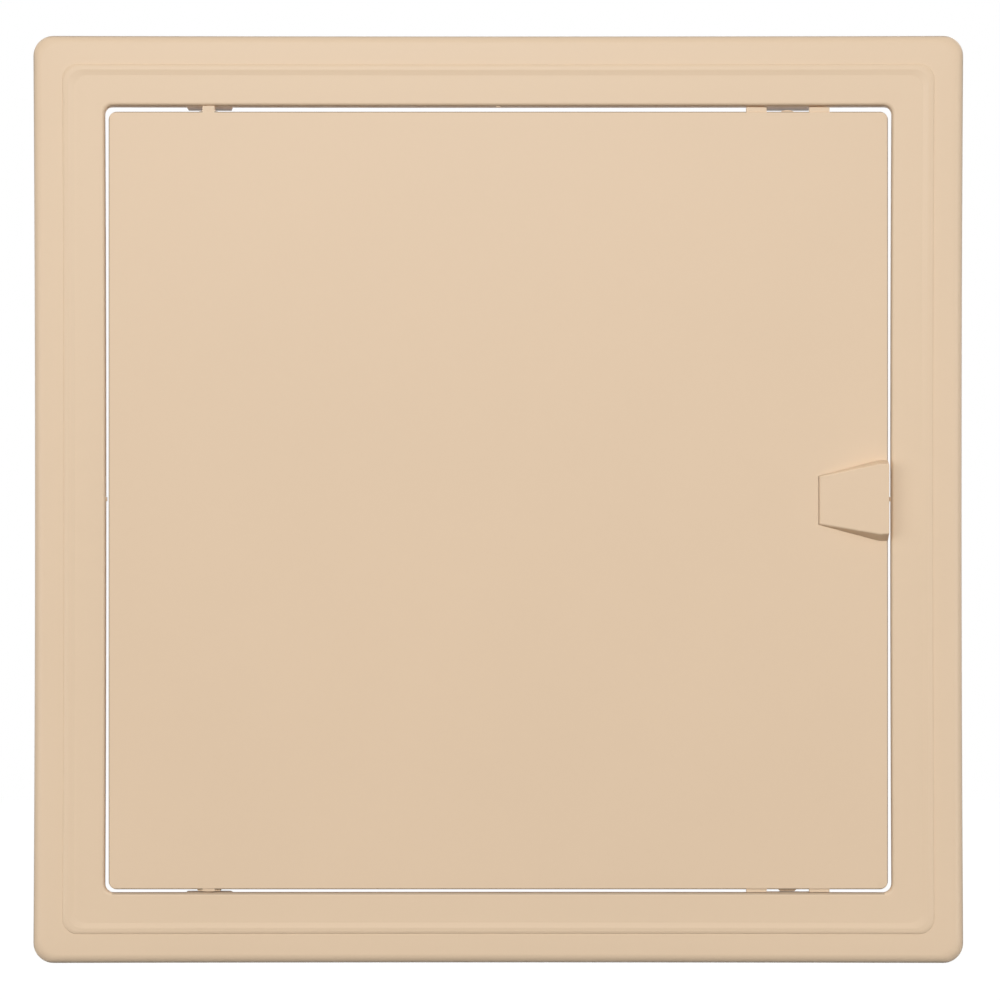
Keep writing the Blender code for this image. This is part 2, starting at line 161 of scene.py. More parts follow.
def steps(name, description, default):
    """A count that a user may change."""
    return IntProperty(name=name, description=description, default=default, min=1)


def colour(name, description, default):
    """A colour that a user may change."""
    return FloatVectorProperty(name=name, description=description, default=default, size=3, subtype="COLOR",
                               min=0.0, max=1.0)


class AccessPanelFrameSizes(bpy.types.PropertyGroup):
    """Sizes of the frame moulding"""

    rim_width: size("Rim width", "Width of the rim", 2 * frame_high.x)
    rim_height: size("Rim height", "Height of the rim", 0.2193)
    rim_thickness: size("Rim thickness", "From the rim's back to its face", 0.0030)
    rim_corner: size("Rim corner", "Radius of the rim's corners", 0.0048)
    edge_roll: size("Edge roll", "Radius of the rim's outer edge", 0.0025)
    band_drop: size("Band drop", "How far the outer band lies behind the face", 0.00025)
    bead_height: size("Bead height", "Height of the bead above the face", 0.0002)
    bead_outer_foot: size("Bead outer foot", "From the rim's edge to the bead's outer foot", 0.0073)
    bead_crest: size("Bead crest", "From the rim's edge to the bead's crest", 0.0087)
    bead_inner_foot: size("Bead inner foot", "From the rim's edge to the bead's inner foot", 0.0100)
    opening_width: size("Opening width", "Width of the opening", 0.1857)
    opening_height: size("Opening height", "Height of the opening", 0.1855)
    opening_corner: size("Opening corner", "Radius of the opening's corners", 0.0021)
    lip_roll: size("Lip roll", "Radius of the opening's edge", 0.0007)
    lip_thickness: size("Lip thickness", "From the face to the lip's back", 0.0018)
    collar_size: size("Collar", "Outer width of the collar", 0.1960)
    collar_wall: size("Collar wall", "Thickness of the collar", 0.0014)
    collar_depth: size("Collar depth", "How far the collar reaches behind the rim", frame_high.y)
    lead_in: size("Lead-in", "Chamfer round the collar's end", 0.0006)
    groove_outer_land: size("Outer land", "Land outside the groove in the rim's back", 0.0032)
    groove_inner_land: size("Inner land", "Land inside the groove in the rim's back", 0.0028)
    groove_depth: size("Groove depth", "Depth of the groove in the rim's back", 0.0012)
    rib_pitch: size("Groove rib pitch", "Distance between the ribs in the groove", 0.0280)
    rib_thickness: size("Groove rib", "Thickness of the ribs in the groove", 0.0012)
    rib_count: steps("Groove ribs", "Ribs in the groove on each side", 7)
    hinge_lug_width: size("Hinge lug width", "Width of the lugs that take the pins", 0.0110)
    catch_lug_width: size("Catch lug width", "Width of the lugs over the catches", 0.0100)
    upper_hinge_lug: size("Upper hinge lug", "From the face to the back of the upper hinge lug", 0.0053)
    upper_catch_lug: size("Upper catch lug", "From the face to the back of the upper catch lug", 0.0053)
    lower_hinge_lug: size("Lower hinge lug", "From the face to the back of the lower hinge lug", 0.0034)
    lower_catch_lug: size("Lower catch lug", "From the face to the back of the lower catch lug", 0.0022)
    lug_slant: size("Lug slant", "Slant of the hinge lugs' inner ends and the catch lugs' outer ends", 0.0007)
    ledge_reach: size("Ledge reach", "How far the ledges stand out of the lip's wall", 0.0006)
    gate_width: size("Gate stub", "Width of the mould's gate stubs", 0.0010)
    gate_length: size("Gate stub length", "Length of the gate stubs from front to back", 0.0006)
    gate_proud: size("Gate stub height", "How far the gate stubs stand out", 0.0003)
    bow_sides: size("Bow of the sides", "How far the upright sides are drawn in at their middle", 0.0004)
    bow_ends: size("Bow of the ends", "How far the level sides are drawn in at their middle", 0.00015)


class AccessPanelDoorSizes(bpy.types.PropertyGroup):
    """Sizes of the door moulding"""

    width: size("Width", "Width of the door", 2 * door_high.x)
    height: size("Height", "Height of the door without its tabs", 0.1831)
    drop: size("Drop", "How far the door hangs below the middle of the opening", 0.00035)
    skin: size("Skin", "Thickness of the door's skin", 0.0020)
    depth: size("Depth", "From the door's face to the end of its skirt", 0.0050)
    skirt: size("Skirt", "Thickness of the skirt", 0.0016)
    corner: size("Corner", "Radius of the door's corners", 0.0019)
    edge_roll: size("Edge roll", "Radius of the door's front edge", 0.0004)
    rib_spacing: size("Rib spacing", "Distance between the two ribs each way", 0.0610)
    rib_thickness: size("Rib", "Thickness of the ribs", 0.0012)
    rib_height: size("Rib height", "Height of the ribs above the skin's back", 0.0020)
    boss_width: size("Boss width", "Width of the blocks that hold the pins", 0.0059)
    boss_length: size("Boss length", "Length of the blocks that hold the pins", 0.0070)
    tab_width: size("Tab width", "Width of the tabs beside the lugs", 0.0048)
    tongue_root: size("Tongue root", "Width of the tongue over the upper neck at the door's edge", 0.0044)
    tongue_tip: size("Tongue tip", "Width of the tongue at its tip", 0.0028)
    tongue_fillet: size("Tongue fillet", "Height of the fillets beside the tongue", 0.0005)
    tongue_reach: size("Tongue reach", "How far the tongue stands out of the door's edge", 0.00130)
    tongue_thickness: size("Tongue thickness", "From the tongue's front to the pin's neck", 0.00018)
    pad_base: size("Pad base", "Width of the lower pin's pad at the door's edge", 0.0059)
    pad_tip: size("Pad tip", "Width of the lower pin's pad at its end", 0.0052)
    pad_height: size("Pad height", "How far the pad stands out of the door's edge", 0.0005)
    pad_set_back: size("Pad set-back", "How far the pad lies behind the face", 0.0008)
    pad_boss: size("Pad boss", "Width of the raised middle of the pad", 0.0033)
    tab_set_back: size("Tab set-back", "How far the tabs lie behind the face", 0.0003)
    tab_thickness: size("Tab thickness", "Thickness of the tabs", 0.0009)
    tab_gap_top: size("Upper tab gap", "From the upper tabs to the frame", 0.0005)
    tab_gap_bottom: size("Lower tab gap", "From the lower tabs to the frame", 0.00015)


class AccessPanelPullSizes(bpy.types.PropertyGroup):
    """Sizes of the finger pull"""

    length: size("Length", "From the heel to the mouth", 0.0163)
    heel_width: size("Heel width", "Width at the heel", 0.0115)
    mouth_width: size("Mouth width", "Width at the mouth", 0.0189)
    mouth_land: size("Mouth land", "Length of the straight part at the mouth", 0.0022)
    heel_height: size("Heel height", "Height of the heel above the face", 0.0004)
    mouth_height: size("Mouth height", "Height of the mouth above the face", 0.0033)
    upper_slope: incline("Upper slope", "Slope of the upper side", 19)
    lower_slope: incline("Lower slope", "Slope of the lower side", 25)
    mouth_lean: size("Mouth lean", "How far the top of the mouth stands behind its foot", 0.0003)
    wall: size("Wall", "Thickness of the pull's roof and sides", 0.0012)
    edge_round: size("Edge", "Radius of the pull's edges", 0.00028)
    flange_width: size("Flange width", "How far the flange reaches behind the skin", 0.0015)
    flange_thickness: size("Flange thickness", "Thickness of the flange", 0.0010)
    seam: size("Seam", "Gap between the pull's sides and the door's skin", 0.00002)
    heel_gap: size("Heel gap", "Gap between the pull's heel and the door's skin", 0.00008)


class AccessPanelFittingSizes(bpy.types.PropertyGroup):
    """Sizes of the hinge pins and the catches"""

    pin_diameter: size("Pin", "Diameter of the hinge pins", 0.0018)
    pin_neck: size("Pin neck", "Diameter of the pins' neck in the gap", pin_high.x - pin_low.x)
    pin_flare: size("Neck flare", "Flare of the upper neck at the door's edge", 0.0003)
    pin_chamfer: size("Pin tip", "Rounding of the pins' tips", 0.0003)
    pin_hole_depth: size("Pin hole", "Depth of the holes in the frame's lugs", 0.0032)
    plate_width: size("Plate width", "Width of the catch plates", catch_high.x - catch_low.x)
    plate_thickness: size("Plate thickness", "Thickness of the catch plates", 0.0012)
    nose_base: size("Nose base", "Width of the lower nose at the door's edge", 0.0046)
    nose_tip: size("Nose tip", "Width of the lower nose at its tip", 0.0034)
    nose_reach: size("Nose reach", "How far the lower nose stands out of the door's edge", 0.0006)
    dome_width: size("Dome width", "Width of the upper nose at the door's edge", 0.0034)
    dome_reach: size("Dome reach", "How far the upper nose stands out of the door's edge", 0.0007)
    nose_set_back: size("Nose set-back", "How far the noses lie behind the face", 0.0015)
    nose_length: size("Nose length", "Length of the noses from front to back", 0.0022)


class AccessPanelFinish(bpy.types.PropertyGroup):
    """The moulded plastic"""

    frame_colour: colour("Frame", "Colour of the frame", (0.770, 0.590, 0.415))
    door_colour: colour("Door", "Colour of the door and what it carries", (0.768, 0.586, 0.412))
    roughness: share("Roughness", "Roughness of the satin finish", 0.42)
    mottle: share("Mottle", "How much the pigment varies", 0.02)
    grain: size("Grain", "Size of the grain left by the mould", 0.00035)
    grain_height: size("Grain height", "Height of the grain", 0.000004)


class AccessPanelStudio(bpy.types.PropertyGroup):
    """Camera, lights and floor"""

    camera_distance: size("Camera distance", "From the camera to the panel's face", 0.50)
    camera_height: size("Camera height", "Height of the camera above the panel's middle", -0.0284)
    camera_side: size("Camera side", "How far the camera stands to the right", 0.0004)
    view_width: size("View width", "Width of the view at the panel's face", 0.2353)
    view_shift: share("View shift", "How far the view is moved down, as a share of it", 0.00105)
    floor_drop: size("Floor drop", "From the panel's lower edge to the floor", 0.30)
    key_power: wattage("Key light", "Power of the light above the camera", 18.5)
    side_power: wattage("Side lights", "Power of each light beside the camera", 4.65)
    back_power: wattage("Back light", "Power of the light behind the panel", 5.0)
    ambient: share("Ambient", "Strength of the light from all round", 0.21)


class AccessPanelSettings(bpy.types.PropertyGroup):
    """All sizes and colours of the access panel"""

    frame: PointerProperty(type=AccessPanelFrameSizes)
    door: PointerProperty(type=AccessPanelDoorSizes)
    pull: PointerProperty(type=AccessPanelPullSizes)
    fittings: PointerProperty(type=AccessPanelFittingSizes)
    finish: PointerProperty(type=AccessPanelFinish)
    studio: PointerProperty(type=AccessPanelStudio)


def maths_of(operation, swapped=False):
    """A method that gives a Math node on a wire and the values that come with it."""
    def method(wire, *others):
        values = (wire, *others)
        return wire.maths(operation, *(values[::-1] if swapped else values))
    return method


class Wire:
    """An output socket that takes part in sums and products, each of which adds a Math node."""

    def __init__(self, maker, socket):
        self.maker = maker
        self.socket = socket

    def maths(self, operation, *values):
        """A Math node on these values."""
        return self.maker.node("ShaderNodeMath", dict(enumerate(values)), operation=operation)[0]

    __add__ = maths_of("ADD")
    __radd__ = maths_of("ADD", swapped=True)
    __sub__ = maths_of("SUBTRACT")
    __rsub__ = maths_of("SUBTRACT", swapped=True)
    __mul__ = maths_of("MULTIPLY")
    __rmul__ = maths_of("MULTIPLY", swapped=True)
    __truediv__ = maths_of("DIVIDE")
    __mod__ = maths_of("MODULO")
    __abs__ = maths_of("ABSOLUTE")
    floor = maths_of("FLOOR")
    larger = maths_of("MAXIMUM")
    matches = maths_of("COMPARE")
    sine = maths_of("SINE")
    cosine = maths_of("COSINE")


class Made:
    """A node whose outputs are read by name or number."""

    def __init__(self, maker, made):
        self.maker = maker
        self.made = made

    def __getitem__(self, key):
        return Wire(self.maker, self.made.outputs[key])


class Nodes:
    """Builds one node tree, node by node."""

    def __init__(self, tree):
        self.tree = tree

    def node(self, kind, values=None, **settings):
        """A node with its settings made first, then the values or links of its sockets."""
        made = self.tree.nodes.new(kind)
        for name, value in settings.items():
            setattr(made, name, value)
        for key, value in (values or {}).items():
            if isinstance(value, Wire):
                self.tree.links.new(value.socket, made.inputs[key])
            else:
                made.inputs[key].default_value = value
        return Made(self, made)

    def split(self, vector):
        """The x, y and z of a vector."""
        parts = self.node("ShaderNodeSeparateXYZ", {"Vector": vector})
        return parts["X"], parts["Y"], parts["Z"]

    def join(self, x, y, z):
        """The vector with this x, y and z."""
        return self.node("ShaderNodeCombineXYZ", {"X": x, "Y": y, "Z": z})[0]

    def distance(self, place, point):
        """How far a place is from a point."""
        return self.node("ShaderNodeVectorMath", {0: place, 1: point}, operation="DISTANCE")["Value"]

    def smooth_step(self, value, low, high):
        """0 below low, 1 above high, and a smooth rise between them."""
        values = {"Value": value, "From Min": low, "From Max": high}
        return self.node("ShaderNodeMapRange", values, interpolation_type="SMOOTHSTEP")["Result"]

    def smooth_fall(self, value, low, high):
        """1 below low, 0 above high, and a smooth fall between them."""
        return 1 - self.smooth_step(value, low, high)

    def within(self, value, low, high):
        """1 between two values and 0 outside them, with short ramps."""
        rise = self.smooth_step(value, low - MASK_RAMP, low + MASK_RAMP)
        return rise * self.smooth_fall(value, high - MASK_RAMP, high + MASK_RAMP)

    def noise(self, vector, feature, detail=2.0):
        """Noise between 0 and 1 with features of about this size."""
        values = {"Vector": vector, "Scale": 1 / feature, "Detail": detail}
        return self.node("ShaderNodeTexNoise", values)["Fac"]


def geometry_tree(name, **sockets):
    """The builder of a Geometry Nodes tree and its inputs, which are named for each kind of socket."""
    tree = bpy.data.node_groups.new(name, "GeometryNodeTree")
    named = [(label, kind) for kind, labels in sockets.items() for label in labels]
    for label, kind in [("Geometry", "Geometry")] + named + [("Material", "Material")]:
        tree.interface.new_socket(label, in_out="INPUT", socket_type="NodeSocket" + kind)
    tree.interface.new_socket("Geometry", in_out="OUTPUT", socket_type="NodeSocketGeometry")
    nodes = Nodes(tree)
    return nodes, nodes.node("NodeGroupInput")


def finish_tree(nodes, given, shape):
    """End a tree in real geometry with its material."""
    real = nodes.node("GeometryNodeRealizeInstances", {"Geometry": shape})
    painted = nodes.node("GeometryNodeSetMaterial", {"Geometry": real[0], "Material": given["Material"]})
    nodes.node("NodeGroupOutput", {"Geometry": painted[0]})
    return nodes.tree


def finish_sweep(nodes, given, swept, position):
    """Move a sweep's points to their places, join those that meet at a pole and end the tree."""
    moved = nodes.node("GeometryNodeSetPosition", {"Geometry": swept, "Position": position})
    merged = nodes.node("GeometryNodeMergeByDistance", {"Geometry": moved[0], "Distance": POLE_MERGE})
    return finish_tree(nodes, given, merged[0])


def filleted(nodes, curve, count, radius):
    """A curve with its corners rounded in this many steps."""
    values = {"Curve": curve, "Count": count, "Radius": radius, "Limit Radius": True}
    return nodes.node("GeometryNodeFilletCurve", values, mode="POLY")[0]


def filleted_profile(nodes, given):
    """The given edges as a curve, with each corner rounded by its own fillet attribute."""
    outline = nodes.node("GeometryNodeMeshToCurve", {"Mesh": given["Geometry"]})
    radius = nodes.node("GeometryNodeInputNamedAttribute", {"Name": "fillet"}, data_type="FLOAT")
    return filleted(nodes, outline[0], given["Fillet Steps"], radius["Attribute"])


def place_in_sweep(nodes, rail, profile):
    """A profile's sweep along a rail, and each point's number on the rail and place in the profile."""
    swept = nodes.node("GeometryNodeCurveToMesh", {"Curve": rail, "Profile Curve": profile})
    counted = nodes.node("GeometryNodeAttributeDomainSize", {"Geometry": profile}, component="CURVE")
    number = nodes.node("GeometryNodeInputIndex")["Index"]
    ring = (number / counted["Point Count"]).floor()
    along = number - ring * counted["Point Count"]
    return swept[0], ring, sampled_place(nodes, profile, along)


def sampled_place(nodes, curve, number):
    """Where a curve's numbered point lies."""
    position = nodes.node("GeometryNodeInputPosition")
    values = {"Geometry": curve, "Value": position[0], "Index": number}
    return nodes.node("GeometryNodeSampleIndex", values, data_type="FLOAT_VECTOR", domain="POINT")[0]


def rail_sweep_tree():
    """Sweeps a profile between two upright rectangles with round corners.

    The profile's X is half the width at that point and its Y the depth.
    """
    rails = [side + part for side in ("Inner ", "Outer ") for part in ("Half Width", "Half Height", "Corner")]
    nodes, given = geometry_tree("rail_sweep", Float=rails + ["Middle"],
                                 Int=["Corner Steps", "Side Cuts", "Fillet Steps"])
    profile = filleted_profile(nodes, given)

    def rail(side):
        """The rectangle of one side, with cuts in its straight stretches."""
        values = {"Width": given[side + " Half Width"] * 2, "Height": given[side + " Half Height"] * 2}
        rectangle = nodes.node("GeometryNodeCurvePrimitiveQuadrilateral", values, mode="RECTANGLE")
        rounded = filleted(nodes, rectangle[0], given["Corner Steps"], given[side + " Corner"])
        spot = nodes.node("GeometryNodeInputIndex")["Index"] % (given["Corner Steps"] + 1)
        straight = spot.matches(given["Corner Steps"], 0.5)
        values = {"Curve": rounded, "Cuts": straight * given["Side Cuts"]}
        cut = nodes.node("GeometryNodeSubdivideCurve", values)
        upright = {"Geometry": cut[0], "Rotation": (math.pi / 2, 0.0, 0.0)}
        return nodes.node("GeometryNodeTransform", upright)[0]

    inner = rail("Inner")
    outer = rail("Outer")
    swept, ring, place = place_in_sweep(nodes, outer, profile)
    half, depth, _ = nodes.split(place)
    reach = given["Outer Half Width"] - given["Inner Half Width"]
    share_out = (half - given["Inner Half Width"]) / reach
    values = {0: share_out, 4: sampled_place(nodes, inner, ring), 5: sampled_place(nodes, outer, ring)}
    between = nodes.node("ShaderNodeMix", values, data_type="VECTOR", clamp_factor=False)[1]
    x, _, z = nodes.split(between)
    return finish_sweep(nodes, given, swept, nodes.join(x, depth, z + given["Middle"]))


def turned_tree():
    """Turns a profile round an upright axis. The profile's X is the radius and its Y the height."""
    nodes, given = geometry_tree("turned", Float=["Axis X", "Axis Y"], Int=["Sides", "Fillet Steps"])
    profile = filleted_profile(nodes, given)
    around = nodes.node("GeometryNodeCurvePrimitiveCircle", {"Resolution": given["Sides"]}, mode="RADIUS")
    swept, ring, place = place_in_sweep(nodes, around[0], profile)
    radius, height, _ = nodes.split(place)
    angle = ring / given["Sides"] * (2 * math.pi)
    x = given["Axis X"] + radius * angle.cosine()
    y = given["Axis Y"] + radius * angle.sine()
    return finish_sweep(nodes, given, swept, nodes.join(x, y, height))


def row_tree():
    """Sets copies of one shape at equal steps along each given edge, turned to face along it."""
    nodes, given = geometry_tree("row_along_edges", Object=["Shape"], Int=["Count"])
    path = nodes.node("GeometryNodeMeshToCurve", {"Mesh": given["Geometry"]})
    values = {"Curve": path[0], "Count": given["Count"]}
    points = nodes.node("GeometryNodeCurveToPoints", values, mode="COUNT")
    values = {"Vector": points["Tangent"]}
    turned = nodes.node("FunctionNodeAlignRotationToVector", values, axis="X", pivot_axis="Y")
    shape = nodes.node("GeometryNodeObjectInfo", {"Object": given["Shape"]})
    values = {"Points": points["Points"], "Instance": shape["Geometry"], "Rotation": turned[0]}
    copies = nodes.node("GeometryNodeInstanceOnPoints", values)
    return finish_tree(nodes, given, copies[0])


def new_object(name, mesh):
    """A new object in the scene."""
    made = bpy.data.objects.new(name, mesh)
    bpy.context.scene.collection.objects.link(made)
    return made


def settle(obj):
    """Turn what the object's modifiers make into its plain mesh."""
    evaluated = obj.evaluated_get(bpy.context.evaluated_depsgraph_get())
    mesh = bpy.data.meshes.new_from_object(evaluated)
    obj.modifiers.clear()
    obj.data = mesh
    return obj


def grow(name, mesh, tree, values):
    """A mesh object that a node tree makes from a starting mesh and the values of its inputs."""
    made = new_object(name, mesh)
    modifier = made.modifiers.new(tree.name, "NODES")
    modifier.node_group = tree
    for item in tree.interface.items_tree:
        if item.item_type == "SOCKET" and item.in_out == "INPUT" and item.name in values:
            modifier[item.identifier] = values[item.name]
    return settle(made)


def profile_mesh(corners, closed):
    """Edges from corner to corner, each corner given as (x, y, fillet radius), which it stores."""
    count = len(corners)
    mesh = bpy.data.meshes.new("profile")
    edges = [(i, (i + 1) % count) for i in range(count if closed else count - 1)]
    mesh.from_pydata([(x, y, 0.0) for x, y, _ in corners], edges, [])
    fillets = [fillet for _, _, fillet in corners]
    mesh.attributes.new("fillet", "FLOAT", "POINT").data.foreach_set("value", fillets)
    return mesh


def edges_mesh(pairs):
    """Loose edges between pairs of points."""
    mesh = bpy.data.meshes.new("path")
    points = [point for pair in pairs for point in pair]
    mesh.from_pydata(points, [(2 * i, 2 * i + 1) for i in range(len(pairs))], [])
    return mesh


def add_prism(whole, loops, rounding, rounds=lambda edge: True):
    """Add a closed solid through these loops of points, and round the edges that rounds picks."""
    part = bmesh.new()
    rows = [[part.verts.new(point) for point in loop] for loop in loops]
    part.faces.new(rows[0])
    part.faces.new(rows[-1][::-1])
    for first, second in zip(rows, rows[1:]):
        for index in range(len(first)):
            after = (index + 1) % len(first)
            part.faces.new((first[index], second[index], second[after], first[after]))
    bmesh.ops.recalc_face_normals(part, faces=part.faces[:])
    if rounding:
        picked = [edge for edge in part.edges if rounds(edge)]
        bmesh.ops.bevel(part, geom=picked, offset=rounding, offset_type="OFFSET", segments=ROUND_STEPS,
                        profile=0.5, affect="EDGES", clamp_overlap=True)
    mesh = bpy.data.meshes.new("part")
    part.to_mesh(mesh)
    part.free()
    whole.from_mesh(mesh)
    bpy.data.meshes.remove(mesh)


def solids(name, shapes):
    """One object with several separate solids, each given as add_prism's loops, rounding and choice."""
    whole = bmesh.new()
    for shape in shapes:
        add_prism(whole, *shape)
    mesh = bpy.data.meshes.new(name)
    whole.to_mesh(mesh)
    whole.free()
    return new_object(name, mesh)


def plate(outline, front, back, x=0.0, z=0.0):
    """The two loops of a flat shape seen from the front, moved sideways and up, at two depths."""
    return [[Vector((x + across, y, z + up)) for across, up in outline] for y in (front, back)]


def block(corner, opposite):
    """The two loops of a box between two opposite corners."""
    low, high = zip(*(sorted(pair) for pair in zip(corner, opposite)))
    outline = ((low[0], low[2]), (high[0], low[2]), (high[0], high[2]), (low[0], high[2]))
    return plate(outline, low[1], high[1])


def circle(x, y, z, radius):
    """A loop of points round an upright axis."""
    turns = [2 * math.pi * side / TURNED_SIDES for side in range(TURNED_SIDES)]
    return [Vector((x + radius * math.cos(t), y + radius * math.sin(t), z)) for t in turns]


def combine(target, tool, operation):
    """Join the tool to the target, or cut it away, and remove the tool."""
    modifier = target.modifiers.new(operation.lower(), "BOOLEAN")
    modifier.operation = operation
    modifier.solver = "EXACT"
    modifier.object = tool
    settle(target)
    bpy.data.objects.remove(tool)


def face_outwards(obj, close_rims=False):
    """Point the faces outwards, once the flat openings at a sweep's ends are filled where asked."""
    mesh = bmesh.new()
    mesh.from_mesh(obj.data)
    if close_rims:
        rims = [edge for edge in mesh.edges if edge.is_boundary]
        bmesh.ops.holes_fill(mesh, edges=rims, sides=0)
    bmesh.ops.recalc_face_normals(mesh, faces=mesh.faces[:])
    mesh.to_mesh(obj.data)
    mesh.free()


def add(target, shapes):
    """Join solids, each given as its loops and its rounding, to the target."""
    combine(target, solids("added", shapes), "UNION")


def cut_away(target, shapes):
    """Cut solids, each given as its loops and its rounding, out of the target."""
    combine(target, solids("cut", shapes), "DIFFERENCE")


def complete(obj, material, body, node):
    """Shade the piece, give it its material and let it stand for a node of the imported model."""
    obj.data.shade_smooth()
    obj.data.set_sharp_from_angle(angle=SHARP_ANGLE)
    weighted = obj.modifiers.new("weighted_normals", "WEIGHTED_NORMAL")
    weighted.mode = "FACE_AREA"
    weighted.keep_sharp = True
    settle(obj)
    obj.data.name = obj.name
    obj.data.materials.clear()
    obj.data.materials.append(material)
    obj.data.polygons.foreach_set("material_index", [0] * len(obj.data.polygons))
    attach(obj, body)
    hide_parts(node)


def settings():
    """The scene's sizes and colours."""
    return bpy.context.scene.access_panel


class Places:
    """Places that several pieces share, worked out from their sizes."""

    def __init__(self):
        sizes = settings()
        self.rim_half = sizes.frame.rim_width / 2
        self.rim_top = sizes.frame.rim_height / 2
        self.opening_half = sizes.frame.opening_width / 2
        self.opening_top = sizes.frame.opening_height / 2
        self.collar_half = sizes.frame.collar_size / 2
        self.collar_inner_half = self.collar_half - sizes.frame.collar_wall
        self.face_y = -sizes.frame.rim_thickness
        self.lip_back_y = self.face_y + sizes.frame.lip_thickness
        self.door_half_width = sizes.door.width / 2
        self.door_half_height = sizes.door.height / 2
        self.door_z = -sizes.door.drop
        self.skin_back_y = self.face_y + sizes.door.skin
        self.door_back_y = self.face_y + sizes.door.depth
        self.pin_x = (pin_low.x + pin_high.x) / 2
        self.pin_y = (pin_low.y + pin_high.y) / 2
        self.catch_x = (catch_low.x + catch_high.x) / 2

    def span(self, side, start, end):
        """Two heights measured from the door's middle towards one end, in rising order."""
        heights = (self.door_z + side * start, self.door_z + side * end)
        return min(heights), max(heights)


def empty_tree(owner):
    """The builder of a material's or a world's node tree, cleared first."""
    owner.use_nodes = True
    owner.node_tree.nodes.clear()
    return Nodes(owner.node_tree)


def moulded_plastic(name, tint, gates=(), marks=()):
    """Satin moulded plastic: mottled pigment, flow marks round the gates, a fine grain, and painted shade and
    handled wear from its marks.

    Each mark holds a function that gives a mask, the values it takes after the nodes and the place, and a
    change of brightness and one of roughness where that mask is 1. Most marks paint shade into the colour,
    darker at edges, along the sill and in recesses; the marks near the pull are handled wear, a little
    lighter and smoother.
    """
    finish = settings().finish
    material = bpy.data.materials.new(name)
    nodes = empty_tree(material)
    place = nodes.node("ShaderNodeTexCoord")["Object"]

    cloud = nodes.noise(place, 0.055, 3.0) - 0.5
    speck = nodes.noise(place, 0.0011, 1.0) - 0.5
    brightness = 1 + cloud * (2 * finish.mottle) + speck * (0.4 * finish.mottle)
    roughness = finish.roughness + cloud * 0.06

    waver = nodes.noise(place, 0.012)
    for gate in gates:
        away = nodes.distance(place, gate)
        rings = (away * RIPPLE_RATE + waver * RIPPLE_WAVER).sine()
        ripple = rings * nodes.smooth_fall(away, 0.004, 0.045)
        brightness = brightness + ripple * 0.003
        roughness = roughness + ripple * 0.012

    # Painted shade and handled wear from the marks, added to the pigment's brightness and to the roughness
    for mask_of, values, lighter, rougher in marks:
        mask = mask_of(nodes, place, *values)
        brightness = brightness + mask * lighter
        roughness = roughness + mask * rougher

    warm = nodes.noise(place, 0.09, 1.0)
    pinker = (tint[0] * 1.004, tint[1] * 0.994, tint[2] * 0.986, 1.0)
    pigment = nodes.node("ShaderNodeMix", {0: warm, 6: (*tint, 1.0), 7: pinker}, data_type="RGBA")
    level = nodes.node("ShaderNodeCombineColor", {0: brightness, 1: brightness, 2: brightness})
    values = {0: 1.0, 6: pigment[2], 7: level[0]}
    shaded = nodes.node("ShaderNodeMix", values, data_type="RGBA", blend_type="MULTIPLY")

    grain = nodes.noise(place, finish.grain)
    ripple = nodes.noise(place, 0.006)
    height = grain * finish.grain_height + ripple * (1.5 * finish.grain_height)
    bump = nodes.node("ShaderNodeBump", {"Strength": 1.0, "Distance": 1.0, "Height": height})

    values = {"Base Color": shaded[2], "Roughness": roughness, "Normal": bump[0], "IOR": 1.5,
              "Specular IOR Level": 0.3}
    shader = nodes.node("ShaderNodeBsdfPrincipled", values)
    nodes.node("ShaderNodeOutputMaterial", {"Surface": shader[0]})
    return material


def painted_edge_shade(nodes, place, half_width, half_height, middle, band, last_y, breaks=()):
    """A mask that paints shade along the front edge of a rectangle, as wide as the band, where the rolled
    edge turns away from the light.

    Each break is a span of x in which the upper and lower edges run on into something else, so no shade is
    painted there.
    """
    x, y, z = nodes.split(place)
    rim = (abs(x) - (half_width - band)).larger(abs(z - middle) - (half_height - band))
    line = nodes.smooth_step(rim, 0.0, 0.7 * band) * nodes.smooth_fall(rim, 1.1 * band, 1.3 * band)
    line = line * nodes.smooth_fall(y, last_y, last_y + band)
    for start, end in breaks:
        line = line * (1 - nodes.within(x, start, end))
    return line


def painted_sill_shade(nodes, place, half_width, low, high):
    """A mask that paints shade along a level strip between two heights."""
    x, _, z = nodes.split(place)
    return nodes.within(z, low, high) * nodes.smooth_fall(abs(x), half_width, half_width + MASK_EDGE)


def painted_recess_shade(nodes, place, half_width, half_height, first_y, last_y):
    """A mask that paints shade on what faces the opening, darker with its depth."""
    x, y, z = nodes.split(place)
    inside = nodes.smooth_fall(abs(x), half_width - MASK_EDGE, half_width)
    facing = nodes.smooth_fall(abs(z), half_height, half_height + MASK_EDGE)
    return inside * facing * nodes.smooth_step(y, first_y, last_y)


def near_mask(nodes, place, point, reach):
    """A mask for the handled area round a point, broken up by noise."""
    return nodes.smooth_fall(nodes.distance(place, point), 0.0, reach) * nodes.noise(place, 0.004, 3.0)


